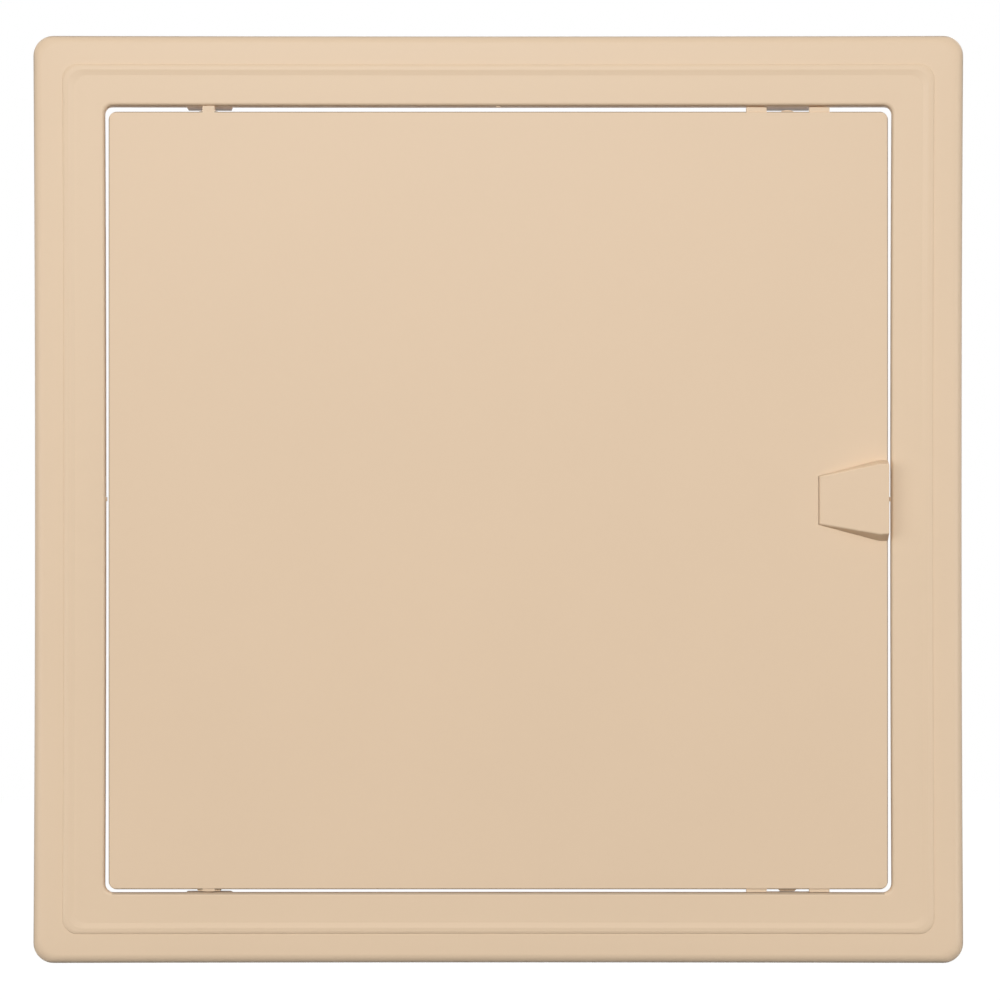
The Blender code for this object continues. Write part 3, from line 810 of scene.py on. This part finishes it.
def frame_profile(sizes, places):
    """The frame's cross-section from its outer back edge inwards, as (half width, y, fillet)."""
    rim = places.rim_half
    opening = places.opening_half
    inner = places.collar_inner_half
    outer = places.collar_half
    face = places.face_y
    band = face + sizes.band_drop
    foot = rim - sizes.bead_outer_foot
    crest = face - sizes.bead_height
    end = sizes.collar_depth
    groove_out = rim - sizes.groove_outer_land
    groove_in = outer + sizes.groove_inner_land
    return [
        (rim, 0.0, CLEAN_ROUND),
        (rim, band, sizes.edge_roll),
        (foot, band, BAND_FOOT_ROUND),
        (foot - BEAD_LOW_LEAN, band - BEAD_LOW_RISE * (band - crest), SMALL_ROUND),
        (foot - BEAD_HIGH_LEAN, band - BEAD_HIGH_RISE * (band - crest), BEAD_ROUND),
        (rim - sizes.bead_crest, crest, BEAD_ROUND),
        (rim - sizes.bead_inner_foot, face, BEAD_FOOT_ROUND),
        (opening, face, sizes.lip_roll),
        (opening, places.lip_back_y, SMALL_ROUND),
        (inner, places.lip_back_y, SOFT_ROUND),
        (inner, end, SMALL_ROUND),
        (outer - sizes.lead_in, end, CLEAN_ROUND),
        (outer, end - sizes.lead_in, SMALL_ROUND),
        (outer, 0.0, SOFT_ROUND),
        (groove_in, 0.0, CLEAN_ROUND),
        (groove_in, -sizes.groove_depth, SMALL_ROUND),
        (groove_out, -sizes.groove_depth, SMALL_ROUND),
        (groove_out, 0.0, CLEAN_ROUND),
    ]


def bars_along(name, bar, pairs, count, material):
    """Copies of a bar, given as its loops and its rounding, at equal steps along the edges between pairs."""
    shape = solids("bar", [bar])
    made = grow(name, edges_mesh(pairs), row_tree(), {"Shape": shape, "Count": count, "Material": material})
    bpy.data.objects.remove(shape)
    return made


def groove_ribs(sizes, places, material):
    """The short ribs across the groove in the rim's back."""
    low = places.collar_half + sizes.groove_inner_land
    high = places.rim_half - sizes.groove_outer_land
    middle = (low + high) / 2
    half_length = (high - low) / 2 + EMBED
    half_rib = sizes.rib_thickness / 2
    bar = block((-half_rib, -sizes.groove_depth - EMBED, -half_length), (half_rib, -EMBED, half_length))
    run = sizes.rib_pitch * (sizes.rib_count - 1) / 2
    pairs = [((-run, 0, side * middle), (run, 0, side * middle)) for side in SIDES]
    pairs += [((side * middle, 0, -run), (side * middle, 0, run)) for side in SIDES]
    return bars_along("groove_ribs", (bar, CLEAN_ROUND), pairs, sizes.rib_count, material)


def lug(sizes, places, side_x, side_z):
    """A block behind the lip that takes a pin or stands over a catch."""
    front = places.face_y + sizes.lip_roll
    if side_x < 0:
        half = sizes.hinge_lug_width / 2
        back = places.face_y + (sizes.upper_hinge_lug if side_z > 0 else sizes.lower_hinge_lug)
        spans = ((-half, front), (half, front), (half, back), (-half + sizes.lug_slant, back),
                 (-half, places.lip_back_y))
    else:
        half = sizes.catch_lug_width / 2
        back = places.face_y + (sizes.upper_catch_lug if side_z > 0 else sizes.lower_catch_lug)
        spans = ((-half, front), (half, front), (half, places.lip_back_y), (half + sizes.lug_slant, back),
                 (-half, back))
    outline = [(side_x * (places.catch_x + across), y) for across, y in spans]
    near = side_z * (places.opening_top - LUG_PROUD)
    far = side_z * (places.collar_inner_half + 2 * EMBED)
    return [[Vector((x, y, z)) for x, y in outline] for z in (near, far)], CLEAN_ROUND


def ledge(sizes, places, side_tab, side_z):
    """A step behind the lip, under one of the door's tabs."""
    door = settings().door
    lug_half = sizes.catch_lug_width / 2
    near = places.catch_x + side_tab * (lug_half + EMBED)
    far = places.catch_x + side_tab * (lug_half + door.tab_width - EMBED)
    front = places.face_y + door.tab_set_back + door.tab_thickness + SEAT_GAP
    inner = side_z * (places.opening_top - sizes.ledge_reach)
    outer = side_z * (places.opening_top + sizes.lip_thickness)
    return block((near, front, inner), (far, -EMBED, outer)), FINE_ROUND


def gate_stubs(sizes, places):
    """The stubs that the mould's gates left at the middle of three sides."""
    near = places.opening_half - sizes.gate_proud
    far = places.opening_half + EMBED
    rise = places.opening_top - places.opening_half
    front = places.face_y + sizes.lip_roll
    back = front + sizes.gate_length
    half = sizes.gate_width / 2
    stubs = [block((-half, front, near + rise), (half, back, far + rise))]
    stubs += [block((side * near, front, -half), (side * far, back, half)) for side in SIDES]
    return [(stub, CRISP_ROUND) for stub in stubs]


def bow(obj, sizes, places):
    """Draw the frame's sides in at their middle, as a cooling moulding does."""
    count = len(obj.data.vertices)
    flat = np.empty(count * 3)
    obj.data.vertices.foreach_get("co", flat)
    points = flat.reshape(-1, 3)
    across = points[:, 0] / places.rim_half
    up = points[:, 2] / places.rim_top
    points[:, 0] -= sizes.bow_sides * across * (1 - up ** 2)
    points[:, 2] -= sizes.bow_ends * up * (1 - across ** 2)
    obj.data.vertices.foreach_set("co", points.ravel())
    obj.data.update()


class ACCESS_PANEL_OT_frame(bpy.types.Operator):
    """Make the frame: a beaded rim, a lip and a collar in one moulding"""

    bl_idname = "access_panel.make_frame"
    bl_label = "Frame"

    def execute(self, context):
        sizes = settings().frame
        fittings = settings().fittings
        places = Places()
        middle_y = places.face_y / 2
        half = places.opening_half
        gates = [(0.0, middle_y, half), (-half, middle_y, 0.0), (half, middle_y, 0.0)]
        sill = -places.opening_top
        rim = (places.rim_half, places.rim_top, 0.0, RIM_SHADE_WIDTH, middle_y)
        strip = (half - sizes.opening_corner, sill - MASK_EDGE, sill + sizes.lip_roll)
        recess = (half, places.opening_top, places.lip_back_y, places.face_y + sizes.upper_hinge_lug)
        # Painted shade: a dark line round the rim's outer edge, a darker lower lip along the sill, and lugs
        # and ledges darker the deeper they lie behind the lip
        marks = [(painted_edge_shade, rim, -0.35, 0.0), (painted_sill_shade, strip, -0.30, 0.0),
                 (painted_recess_shade, recess, -0.40, 0.0)]
        material = moulded_plastic("frame_plastic", settings().finish.frame_colour, gates, marks)
        values = {
            "Inner Half Width": half, "Inner Half Height": places.opening_top,
            "Inner Corner": sizes.opening_corner, "Outer Half Width": places.rim_half,
            "Outer Half Height": places.rim_top, "Outer Corner": sizes.rim_corner, "Middle": 0.0,
            "Corner Steps": CORNER_STEPS, "Side Cuts": FRAME_SIDE_CUTS, "Fillet Steps": FILLET_STEPS,
            "Material": material,
        }
        profile = profile_mesh(frame_profile(sizes, places), closed=True)
        made = grow("frame_moulding", profile, rail_sweep_tree(), values)
        face_outwards(made)
        combine(made, groove_ribs(sizes, places, material), "UNION")
        add(made, [lug(sizes, places, x, z) for x in SIDES for z in SIDES])
        add(made, [ledge(sizes, places, x, z) for x in SIDES for z in SIDES])
        add(made, gate_stubs(sizes, places))
        radius = fittings.pin_diameter / 2 + RUNNING_GAP
        ends = (places.opening_top - LUG_PROUD - EMBED, places.opening_top + fittings.pin_hole_depth)
        holes = [([circle(places.pin_x, places.pin_y, side * z, radius) for z in ends], 0.0)
                 for side in SIDES]
        cut_away(made, holes)
        bow(made, sizes, places)
        complete(made, material, "frame", "frame")
        return {"FINISHED"}


def door_profile(sizes, places):
    """The door's section from the middle of its face, round its edge, to the skin's back."""
    half = places.door_half_width
    inside = half - sizes.skirt
    return [
        (half - SWEEP_INSET, places.face_y, 0.0),
        (half, places.face_y, sizes.edge_roll),
        (half, places.door_back_y, PLAIN_ROUND),
        (inside, places.door_back_y, PLAIN_ROUND),
        (inside - SKIRT_DRAFT, places.skin_back_y, FULL_ROUND),
        (half - SWEEP_INSET, places.skin_back_y, 0.0),
    ]


def door_ribs(sizes, places, material, upright):
    """Two stiffening ribs across the door's back."""
    reach = (places.door_half_height if upright else places.door_half_width) - sizes.skirt / 2
    half = sizes.rib_thickness / 2
    back = places.skin_back_y + sizes.rib_height
    bar = block((-half, places.skin_back_y - EMBED, -reach), (half, back, reach))
    run = sizes.rib_spacing / 2
    middle = places.door_z
    if upright:
        pair = ((-run, 0.0, middle), (run, 0.0, middle))
    else:
        pair = ((0.0, 0.0, middle - run), (0.0, 0.0, middle + run))
    return bars_along("door_ribs", (bar, SOFT_ROUND), [pair], 2, material)


def door_blocks(sizes, places):
    """The blocks behind the skin that hold the pins, and the ribs that trap the catch plates."""
    fittings = settings().fittings
    blocks = []
    for side in SIDES:
        inner = places.door_half_height - sizes.skirt
        low, high = places.span(side, inner - sizes.boss_length, inner + sizes.skirt / 2)
        near = (places.pin_x - sizes.boss_width / 2, places.skin_back_y - EMBED, low)
        far = (places.pin_x + sizes.boss_width / 2, places.door_back_y - RUNNING_GAP, high)
        blocks.append((block(near, far), PLAIN_ROUND))
        edge = inner - fittings.plate_thickness - 2 * SEAT_GAP
        low, high = places.span(side, edge - sizes.rib_thickness, edge)
        half = fittings.plate_width / 2
        near = (places.catch_x - half, places.skin_back_y - EMBED, low)
        far = (places.catch_x + half, places.skin_back_y + sizes.rib_height, high)
        blocks.append((block(near, far), PLAIN_ROUND))
    return blocks


def hinge_pad(sizes, places):
    """A low pad on the door's lower edge, round the pin."""
    root = places.door_z - places.door_half_height + EMBED
    tip = places.door_z - places.door_half_height - sizes.pad_height
    outline = [(-sizes.pad_base / 2, root), (sizes.pad_base / 2, root), (sizes.pad_tip / 2, tip),
               (-sizes.pad_tip / 2, tip)]
    wide = plate(outline, places.face_y + sizes.pad_set_back, places.door_back_y - RUNNING_GAP, places.pin_x)
    near = (places.pin_x - sizes.pad_boss / 2, places.face_y + PAD_BOSS_SET_BACK, tip)
    boss = block(near, (places.pin_x + sizes.pad_boss / 2, places.pin_y, root))
    return [(wide, CRISP_ROUND), (boss, PAD_BOSS_ROUND)]


def neck_tongue(sizes, places):
    """The thin tongue of the door's face in front of the upper pin's neck, with a fillet on each side."""
    edge = places.door_z + places.door_half_height
    flare = (sizes.tongue_root - sizes.tongue_tip) / 2
    turns = [math.pi / 2 * step / ROUND_STEPS for step in range(ROUND_STEPS + 1)]
    side = [(sizes.tongue_root / 2 - flare * math.sin(t), edge + sizes.tongue_fillet * (1 - math.cos(t)))
            for t in turns]
    side = [(sizes.tongue_root / 2, edge - 2 * EMBED)] + side
    side.append((sizes.tongue_tip / 2, edge + sizes.tongue_reach))
    outline = [(-x, z) for x, z in side] + side[::-1]
    back = places.pin_y - (pin_high.x - pin_low.x) / 2
    return plate(outline, back - sizes.tongue_thickness, back, places.pin_x), 0.0


def door_tab(sizes, places, side_tab, side):
    """A tab that fills the gap beside a lug."""
    start = places.catch_x + side_tab * settings().frame.catch_lug_width / 2
    end = start + side_tab * sizes.tab_width
    end_gap = sizes.tab_gap_top if side > 0 else sizes.tab_gap_bottom
    root = places.door_z + side * (places.door_half_height - sizes.skirt / 2)
    tip = side * (places.opening_top - end_gap)
    front = places.face_y + sizes.tab_set_back
    return block((start, front, root), (end, front + sizes.tab_thickness, tip)), FINE_ROUND


def pull_outline(grown, last):
    """The pull's outline on the face, grown outwards, as distances from the heel and half widths."""
    sizes = settings().pull
    taper_end = sizes.length - sizes.mouth_land
    heel_half = sizes.heel_width / 2
    mouth_half = sizes.mouth_width / 2
    angle = math.atan2(mouth_half - heel_half, taper_end)
    heel_corner = heel_half + grown * (1 / math.cos(angle) - math.tan(angle))
    return [(-grown, heel_corner), (taper_end, mouth_half + grown), (last, mouth_half + grown)]


def pull_loop(places, lower, upper):
    """A closed loop from two outlines of (distance from the heel, half width, y)."""
    heel_x = places.door_half_width - settings().pull.length
    below = [Vector((heel_x + along, y, places.door_z - half)) for along, half, y in lower]
    above = [Vector((heel_x + along, y, places.door_z + half)) for along, half, y in upper]
    return below + above[::-1]


def pull_height(along):
    """Height of the pull's top above the face at a distance from the heel."""
    sizes = settings().pull
    return sizes.heel_height + (sizes.mouth_height - sizes.heel_height) * along / sizes.length


def pull_prism(places, grown, last, front, back, heel_gap=0.0):
    """The pull's outline as a straight prism between two depths, drawn out at the heel by a gap."""
    loops = []
    for depth in (front, back):
        side = [(along, half, depth) for along, half in pull_outline(grown, last)]
        if heel_gap:
            side.insert(0, (side[0][0] - heel_gap, side[0][1], depth))
        loops.append(pull_loop(places, side, side))
    return loops


def sloped_side(outline, slope, drop, face_y):
    """One side of the pull's top, drawn in by its slope, the given drop below the top."""
    tilt = math.tan(slope)
    side = []
    for along, half in outline:
        start = along + pull_height(0.0) * tilt if along == 0.0 else along
        rise = max(pull_height(start) - drop, 0.0)
        side.append((start, half - rise * tilt, face_y - pull_height(start) + drop))
    return side


def door_cuts(sizes, places):
    """What is cut out of the door: the holes for the pins, the slots for the noses and the pull's seat."""
    fittings = settings().fittings
    pull = settings().pull
    radius = fittings.pin_diameter / 2 + RUNNING_GAP
    shank_end = pin_low.z - places.door_z - SEAT_GAP
    cuts = []
    for side in SIDES:
        ends = places.span(side, shank_end, places.door_half_height + sizes.pad_height + EMBED)
        cuts.append(([circle(places.pin_x, places.pin_y, z, radius) for z in ends], 0.0))
        half = fittings.nose_base / 2 + SEAT_GAP
        front = places.face_y + fittings.nose_set_back - SEAT_GAP
        back = front + fittings.nose_length + 2 * SEAT_GAP
        inner = places.door_half_height - sizes.skirt - SEAT_GAP - fittings.plate_thickness
        low, high = places.span(side, inner, places.door_half_height + EMBED)
        cuts.append((block((places.catch_x - half, front, low), (places.catch_x + half, back, high)), 0.0))
    front = places.face_y - EMBED
    back = places.skin_back_y + EMBED
    seat = pull_prism(places, pull.seam, pull.length + EMBED, front, back, pull.heel_gap)
    return cuts + [(seat, 0.0)]


class ACCESS_PANEL_OT_door(bpy.types.Operator):
    """Make the door: a flat skin with a rolled edge, a skirt, ribs and tabs"""

    bl_idname = "access_panel.make_door"
    bl_label = "Door"

    def execute(self, context):
        sizes = settings().door
        places = Places()
        half_width = places.door_half_width
        half_height = places.door_half_height
        mouth = (half_width, places.face_y, places.door_z)
        # Painted shade: a dark line round the door's rolled front edge, left out where the tabs and the
        # tongue run on; near the pull's mouth, handled wear, a little lighter and smoother
        slot = settings().frame.catch_lug_width / 2
        seamless = [(places.catch_x - slot - sizes.tab_width, places.catch_x - slot),
                    (places.catch_x + slot, places.catch_x + slot + sizes.tab_width),
                    (places.pin_x - sizes.tongue_tip / 2, places.pin_x + sizes.tongue_tip / 2)]
        edges = (half_width, half_height, places.door_z, sizes.edge_roll, places.face_y + 2 * sizes.edge_roll,
                 seamless)
        marks = [(painted_edge_shade, edges, -0.50, 0.0), (near_mask, (mouth, 0.030), 0.006, -0.06)]
        material = moulded_plastic("door_plastic", settings().finish.door_colour, marks=marks)
        values = {
            "Inner Half Width": half_width - SWEEP_INSET, "Inner Half Height": half_height - SWEEP_INSET,
            "Inner Corner": EMBED, "Outer Half Width": half_width, "Outer Half Height": half_height,
            "Outer Corner": sizes.corner, "Middle": places.door_z, "Corner Steps": CORNER_STEPS,
            "Side Cuts": DOOR_SIDE_CUTS, "Fillet Steps": FILLET_STEPS, "Material": material,
        }
        profile = profile_mesh(door_profile(sizes, places), closed=False)
        made = grow("door_moulding", profile, rail_sweep_tree(), values)
        face_outwards(made, close_rims=True)
        for upright in (True, False):
            combine(made, door_ribs(sizes, places, material, upright), "UNION")
        add(made, door_blocks(sizes, places))
        for shape in hinge_pad(sizes, places) + [neck_tongue(sizes, places)]:
            add(made, [shape])
        add(made, [door_tab(sizes, places, t, s) for t in SIDES for s in SIDES])
        cut_away(made, door_cuts(sizes, places))
        complete(made, material, "door", "door_panel")
        return {"FINISHED"}


class ACCESS_PANEL_OT_pull(bpy.types.Operator):
    """Make the finger pull: a hollow wedge that opens at the door's free edge"""

    bl_idname = "access_panel.make_pull"
    bl_label = "Finger Pull"

    def execute(self, context):
        sizes = settings().pull
        places = Places()
        face = places.face_y
        base = pull_outline(0.0, sizes.length)
        floor_side = [(along, half, places.skin_back_y) for along, half in base]
        face_side = [(along, half, face) for along, half in base]
        top = pull_outline(0.0, sizes.length - sizes.mouth_lean)
        upper = sloped_side(top, sizes.upper_slope, 0.0, face)
        lower = sloped_side(top, sizes.lower_slope, 0.0, face)
        loops = [
            pull_loop(places, floor_side, floor_side),
            pull_loop(places, face_side, face_side),
            pull_loop(places, lower, upper),
        ]

        def stands_proud(edge):
            """Whether an edge starts at the face or in front of it and reaches further out."""
            depths = [vert.co.y for vert in edge.verts]
            return max(depths) <= face + POLE_MERGE and min(depths) < face - POLE_MERGE

        made = solids("finger_pull_moulding", [(loops, sizes.edge_round, stands_proud)])

        stem_end = sizes.length - settings().door.skirt - SEAT_GAP
        flange_front = places.skin_back_y + SEAT_GAP
        flange_back = flange_front + sizes.flange_thickness
        stem = pull_prism(places, -SHOULDER_GAP, stem_end, face, flange_front + EMBED)
        flange = pull_prism(places, sizes.flange_width, stem_end - SHOULDER_GAP, flange_front, flange_back)
        add(made, [(stem, 0.0)])
        add(made, [(flange, FINE_ROUND)])

        pitch = math.atan2(sizes.mouth_height - sizes.heel_height, sizes.length)
        roof = sizes.wall / math.cos(pitch)
        hollow = pull_outline(-sizes.wall, sizes.length + EMBED)
        back_side = [(along, half, flange_back + EMBED) for along, half in hollow]
        upper = sloped_side(hollow, sizes.upper_slope, roof, face)
        lower = sloped_side(hollow, sizes.lower_slope, roof, face)
        cavity = [pull_loop(places, back_side, back_side), pull_loop(places, lower, upper)]
        cut_away(made, [(cavity, SMALL_ROUND)])

        mouth = (places.door_half_width, face, places.door_z)
        marks = [(near_mask, (mouth, 0.012), 0.008, -0.08)]
        material = moulded_plastic("pull_plastic", settings().finish.door_colour, marks=marks)
        complete(made, material, "door", "finger_pull")
        return {"FINISHED"}


class ACCESS_PANEL_OT_pins(bpy.types.Operator):
    """Make the two hinge pins, turned round the hinge axis"""

    bl_idname = "access_panel.make_pins"
    bl_label = "Hinge Pins"

    def execute(self, context):
        sizes = settings().fittings
        places = Places()
        material = moulded_plastic("pin_plastic", settings().finish.door_colour)
        tree = turned_tree()
        radius = sizes.pin_diameter / 2
        neck = sizes.pin_neck / 2
        pad = settings().door.pad_height
        for node, side, stand_off, flare in (("hinge_pin_top", 1, 0.0, sizes.pin_flare),
                                             ("hinge_pin_bottom", -1, pad, 0.0)):
            low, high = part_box(node)
            ends = sorted(abs(z - places.door_z) for z in (low.z, high.z))
            edge = places.door_half_height + stand_off + SHOULDER_GAP
            neck_end = places.opening_top - LUG_PROUD - RUNNING_GAP - side * places.door_z
            shank = [(0.0, ends[0], 0.0), (radius, ends[0], SOFT_ROUND), (radius, edge, FINE_ROUND)]
            root = [(neck + flare, edge, HAIR_ROUND)]
            if flare:
                root.append((neck, edge + flare, FULL_ROUND))
            tip = [(neck, neck_end, CRISP_ROUND), (radius, neck_end, FINE_ROUND),
                   (radius, ends[1], sizes.pin_chamfer), (0.0, ends[1], 0.0)]
            corners = shank + root + tip
            turned = [(x, places.door_z + side * z, fillet) for x, z, fillet in corners]
            values = {"Axis X": places.pin_x, "Axis Y": places.pin_y, "Sides": TURNED_SIDES,
                      "Fillet Steps": FILLET_STEPS, "Material": material}
            made = grow(node + "_moulding", profile_mesh(turned, closed=False), tree, values)
            face_outwards(made)
            complete(made, material, "door", node)
        return {"FINISHED"}


def nose_outline(sizes, places, domed):
    """A catch's nose seen from the front, as (x, distance from the door's middle) pairs."""
    base = (sizes.dome_width if domed else sizes.nose_base) / 2
    tip = sizes.nose_tip / 2
    root = places.door_half_height - settings().door.skirt - SEAT_GAP - sizes.plate_thickness / 2
    edge = places.door_half_height
    top = edge + sizes.nose_reach
    if domed:
        turns = [math.pi * step / DOME_STEPS for step in range(DOME_STEPS + 1)]
        crown = [(-base * math.cos(t), edge + sizes.dome_reach * math.sin(t)) for t in turns]
    else:
        crown = [(-base, edge), (-tip, top), (tip, top), (base, edge)]
    return [(-base, root)] + crown + [(base, root)]


class ACCESS_PANEL_OT_catches(bpy.types.Operator):
    """Make the two catches: a plate with a nose towards the frame's lug"""

    bl_idname = "access_panel.make_catches"
    bl_label = "Catches"

    def execute(self, context):
        sizes = settings().fittings
        places = Places()
        material = moulded_plastic("catch_plastic", settings().finish.door_colour)
        half = sizes.plate_width / 2
        outer = places.door_half_height - settings().door.skirt - SEAT_GAP
        for node, side, domed in (("catch_top", 1, True), ("catch_bottom", -1, False)):
            low, high = places.span(side, outer - sizes.plate_thickness, outer)
            near = (places.catch_x - half, places.skin_back_y + SEAT_GAP, low)
            far = (places.catch_x + half, places.door_back_y - RUNNING_GAP, high)
            made = solids(node + "_moulding", [(block(near, far), SMALL_ROUND)])
            outline = [(x, side * z) for x, z in nose_outline(sizes, places, domed)]
            front = places.face_y + sizes.nose_set_back
            nose = plate(outline, front, front + sizes.nose_length, places.catch_x, places.door_z)
            add(made, [(nose, FINE_ROUND)])
            complete(made, material, "door", node)
        return {"FINISHED"}


def light_panel(name, location, target, width, height, power):
    """A soft light that faces a point."""
    data = bpy.data.lights.new(name, "AREA")
    data.shape = "RECTANGLE"
    data.size = width
    data.size_y = height
    data.energy = power
    lamp = bpy.data.objects.new(name, data)
    lamp.location = location
    lamp.rotation_euler = (Vector(target) - Vector(location)).to_track_quat("-Z", "Y").to_euler()
    bpy.context.scene.collection.objects.link(lamp)


def seen_directly(nodes):
    """1 for rays that look at or mirror the background, 0 for rays that gather light."""
    path = nodes.node("ShaderNodeLightPath")
    return path["Is Camera Ray"].larger(path["Is Glossy Ray"]).larger(path["Is Transmission Ray"])


class ACCESS_PANEL_OT_studio(bpy.types.Operator):
    """Set up the camera, soft lights, a pale floor and a white background"""

    bl_idname = "access_panel.make_studio"
    bl_label = "Studio"

    def execute(self, context):
        scene = context.scene
        studio = settings().studio
        places = Places()
        scene.view_settings.view_transform = "Standard"

        camera = bpy.data.cameras.new("camera")
        camera.lens = camera.sensor_width * studio.camera_distance / studio.view_width
        camera.shift_y = -studio.camera_height / studio.view_width - studio.view_shift
        viewer = bpy.data.objects.new("camera", camera)
        viewer.location = (studio.camera_side, places.face_y - studio.camera_distance, studio.camera_height)
        viewer.rotation_euler = (math.pi / 2, 0.0, 0.0)
        scene.collection.objects.link(viewer)
        scene.camera = viewer

        middle = (0.0, 0.0, 0.0)
        light_panel("key_light", (-0.10, -1.81, 0.85), middle, 1.0, 0.7, studio.key_power)
        light_panel("left_light", (-0.92, -0.77, 0.05), middle, 0.6, 0.8, studio.side_power)
        light_panel("right_light", (0.92, -0.77, 0.05), middle, 0.6, 0.8, studio.side_power)
        light_panel("back_light", (0.35, 1.10, 0.45), middle, 1.2, 1.2, studio.back_power)

        world = bpy.data.worlds.new("studio")
        nodes = empty_tree(world)
        ambient = {"Color": (1.0, 0.99, 0.97, 1.0), "Strength": studio.ambient}
        around = nodes.node("ShaderNodeBackground", ambient)
        white = nodes.node("ShaderNodeBackground", {"Color": (1.0, 1.0, 1.0, 1.0), "Strength": 1.0})
        mixed = nodes.node("ShaderNodeMixShader", {0: seen_directly(nodes), 1: around[0], 2: white[0]})
        nodes.node("ShaderNodeOutputWorld", {"Surface": mixed[0]})
        scene.world = world

        floor = bpy.data.materials.new("pale_floor")
        nodes = empty_tree(floor)
        dim = nodes.node("ShaderNodeBsdfDiffuse", {"Color": (0.10, 0.10, 0.10, 1.0)})
        pale = nodes.node("ShaderNodeBsdfDiffuse", {"Color": (0.70, 0.70, 0.70, 1.0)})
        glow = nodes.node("ShaderNodeEmission", {"Color": (1.0, 1.0, 1.0, 1.0), "Strength": 0.85})
        seen = nodes.node("ShaderNodeAddShader", {0: pale[0], 1: glow[0]})
        mixed = nodes.node("ShaderNodeMixShader", {0: seen_directly(nodes), 1: dim[0], 2: seen[0]})
        nodes.node("ShaderNodeOutputMaterial", {"Surface": mixed[0]})
        level = -places.rim_half - studio.floor_drop
        half = 4.0
        mesh = bpy.data.meshes.new("floor")
        corners = [(-half, -half, level), (half, -half, level), (half, half, level), (-half, half, level)]
        mesh.from_pydata(corners, [], [(0, 1, 2, 3)])
        mesh.materials.append(floor)
        new_object("floor", mesh)
        return {"FINISHED"}


class ACCESS_PANEL_PT_sidebar(bpy.types.Panel):
    """Lists what the access panel is made of"""

    bl_idname = "ACCESS_PANEL_PT_sidebar"
    bl_label = "Access Panel"
    bl_space_type = "VIEW_3D"
    bl_region_type = "UI"
    bl_category = "Access Panel"

    def draw(self, context):
        for maker in MAKERS:
            self.layout.operator(maker.bl_idname)
        for group in ("frame", "door", "pull", "fittings", "finish", "studio"):
            values = getattr(context.scene.access_panel, group)
            box = self.layout.box()
            box.label(text=group.capitalize())
            for name in values.__annotations__:
                box.prop(values, name)


MAKERS = (ACCESS_PANEL_OT_frame, ACCESS_PANEL_OT_door, ACCESS_PANEL_OT_pull, ACCESS_PANEL_OT_pins,
          ACCESS_PANEL_OT_catches, ACCESS_PANEL_OT_studio)
CLASSES = (AccessPanelFrameSizes, AccessPanelDoorSizes, AccessPanelPullSizes, AccessPanelFittingSizes,
           AccessPanelFinish, AccessPanelStudio, AccessPanelSettings) + MAKERS + (ACCESS_PANEL_PT_sidebar,)


def register():
    """Make the classes and the scene's settings known."""
    for made in CLASSES:
        bpy.utils.register_class(made)
    bpy.types.Scene.access_panel = PointerProperty(type=AccessPanelSettings)


def unregister():
    """Take the settings and the classes out again."""
    del bpy.types.Scene.access_panel
    for made in reversed(CLASSES):
        bpy.utils.unregister_class(made)


def main():
    """Make every piece and the stage."""
    register()
    for maker in MAKERS:
        category, action = maker.bl_idname.split(".")
        getattr(getattr(bpy.ops, category), action)()


if __name__ == "__main__":
    main()
